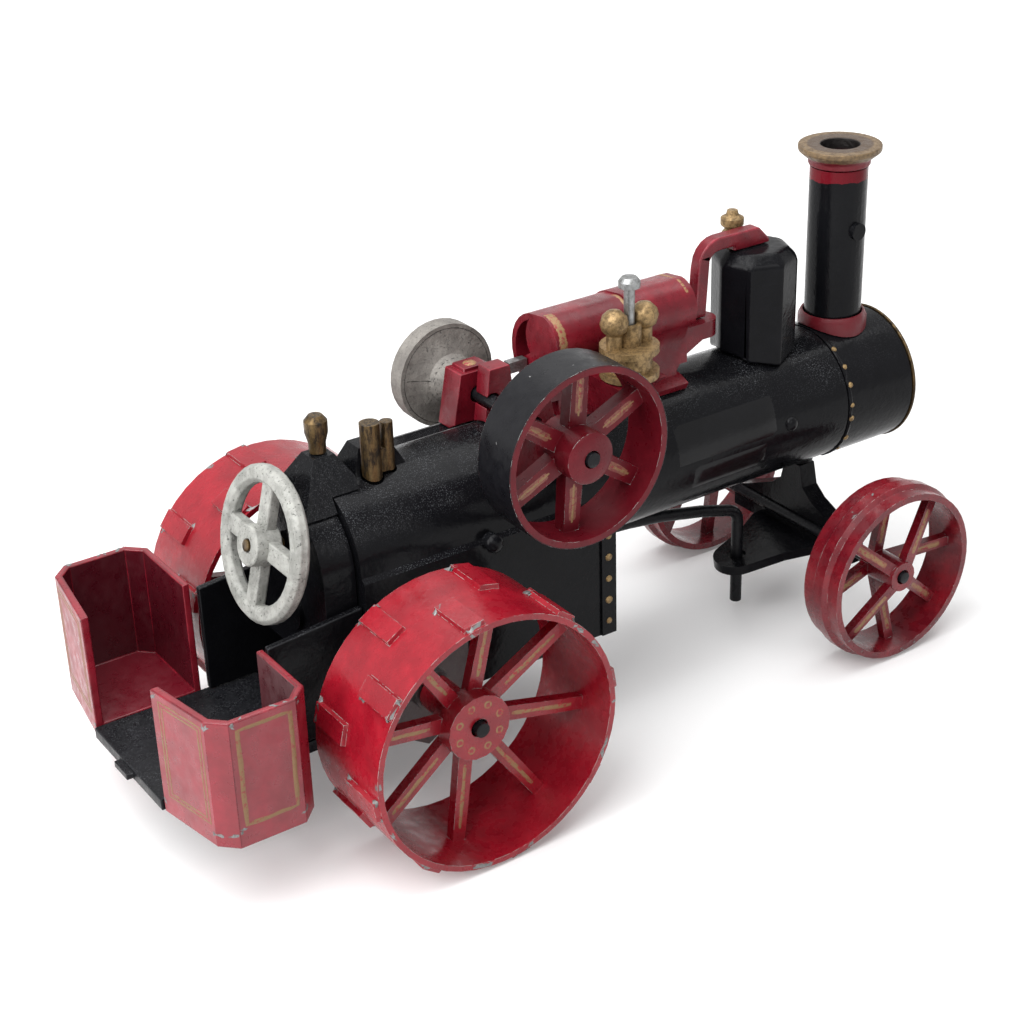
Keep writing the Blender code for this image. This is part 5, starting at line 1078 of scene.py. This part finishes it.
def white_background():
    """A world that looks white and lights the model faintly."""
    world = bpy.data.worlds.new("world")
    bpy.context.scene.world = world
    world.use_nodes = True
    n = Nodes(world.node_tree)
    lit = n.tree.nodes["Background"]
    shown = n.add("ShaderNodeBackground")
    for node, strength in ((lit, WORLD_LIGHT), (shown, 1.0)):
        n.put(BACKGROUND, node.inputs["Color"])
        n.put(strength, node.inputs["Strength"])
    mix = n.mix_shader(n.seen_by_lens(), lit.outputs["Background"], shown.outputs["Background"])
    n.put(mix, n.tree.nodes["World Output"].inputs["Surface"])


def floor():
    """A plain pale floor that keeps the model's shadow and is white away from it."""
    mesh = bpy.data.meshes.new("floor")
    corners = [(-1, -1), (1, -1), (1, 1), (-1, 1)]
    mesh.from_pydata([(x * FLOOR_REACH, y * FLOOR_REACH, 0) for x, y in corners], [], [(0, 1, 2, 3)])
    n = Look("pale floor")
    n.shade("Base Color", FLOOR_COLOUR)
    n.shade("Roughness", FLOOR_ROUGHNESS)
    n.shade("Specular IOR Level", FLOOR_GLOSS)
    away = n.add("ShaderNodeVectorMath", operation="LENGTH")
    n.put(n.place, away.inputs[0])
    glow = n.add("ShaderNodeEmission")
    n.put(BACKGROUND, glow.inputs["Color"])
    strength = n.ramp(away.outputs["Value"], GLOW_FROM, GLOW_TO, GLOW_NEAR, GLOW_FAR, "LINEAR")
    n.put(strength, glow.inputs["Strength"])
    plain = n.shader.outputs["BSDF"]
    both = n.add("ShaderNodeAddShader")
    n.put(plain, both.inputs[0])
    n.put(glow.outputs["Emission"], both.inputs[1])
    mix = n.mix_shader(n.seen_by_lens(), plain, both.outputs["Shader"])
    n.put(mix, n.tree.nodes["Material Output"].inputs["Surface"])
    mesh.materials.append(n.material)
    obj = new_object("floor", mesh)


for node_paint, node_names in NODE_PAINT.items():
    for node_name in node_names:
        dress_node(node_name, node_paint)
for wheel_label, wheel_side in SIDES.items():
    rear_wheel_details(wheel_label, wheel_side)
    front_wheel_details(wheel_label, wheel_side)
flywheel_details()
disc_details()
cylinder_details()
for bunker_label, bunker_side in SIDES.items():
    bunker_details(bunker_label, bunker_side)
boiler_details()
camera()
white_background()
floor()
for lamp_name, lamp_values in LAMPS.items():
    lamp(lamp_name, *lamp_values)
bpy.context.scene.view_settings.view_transform = "Standard"
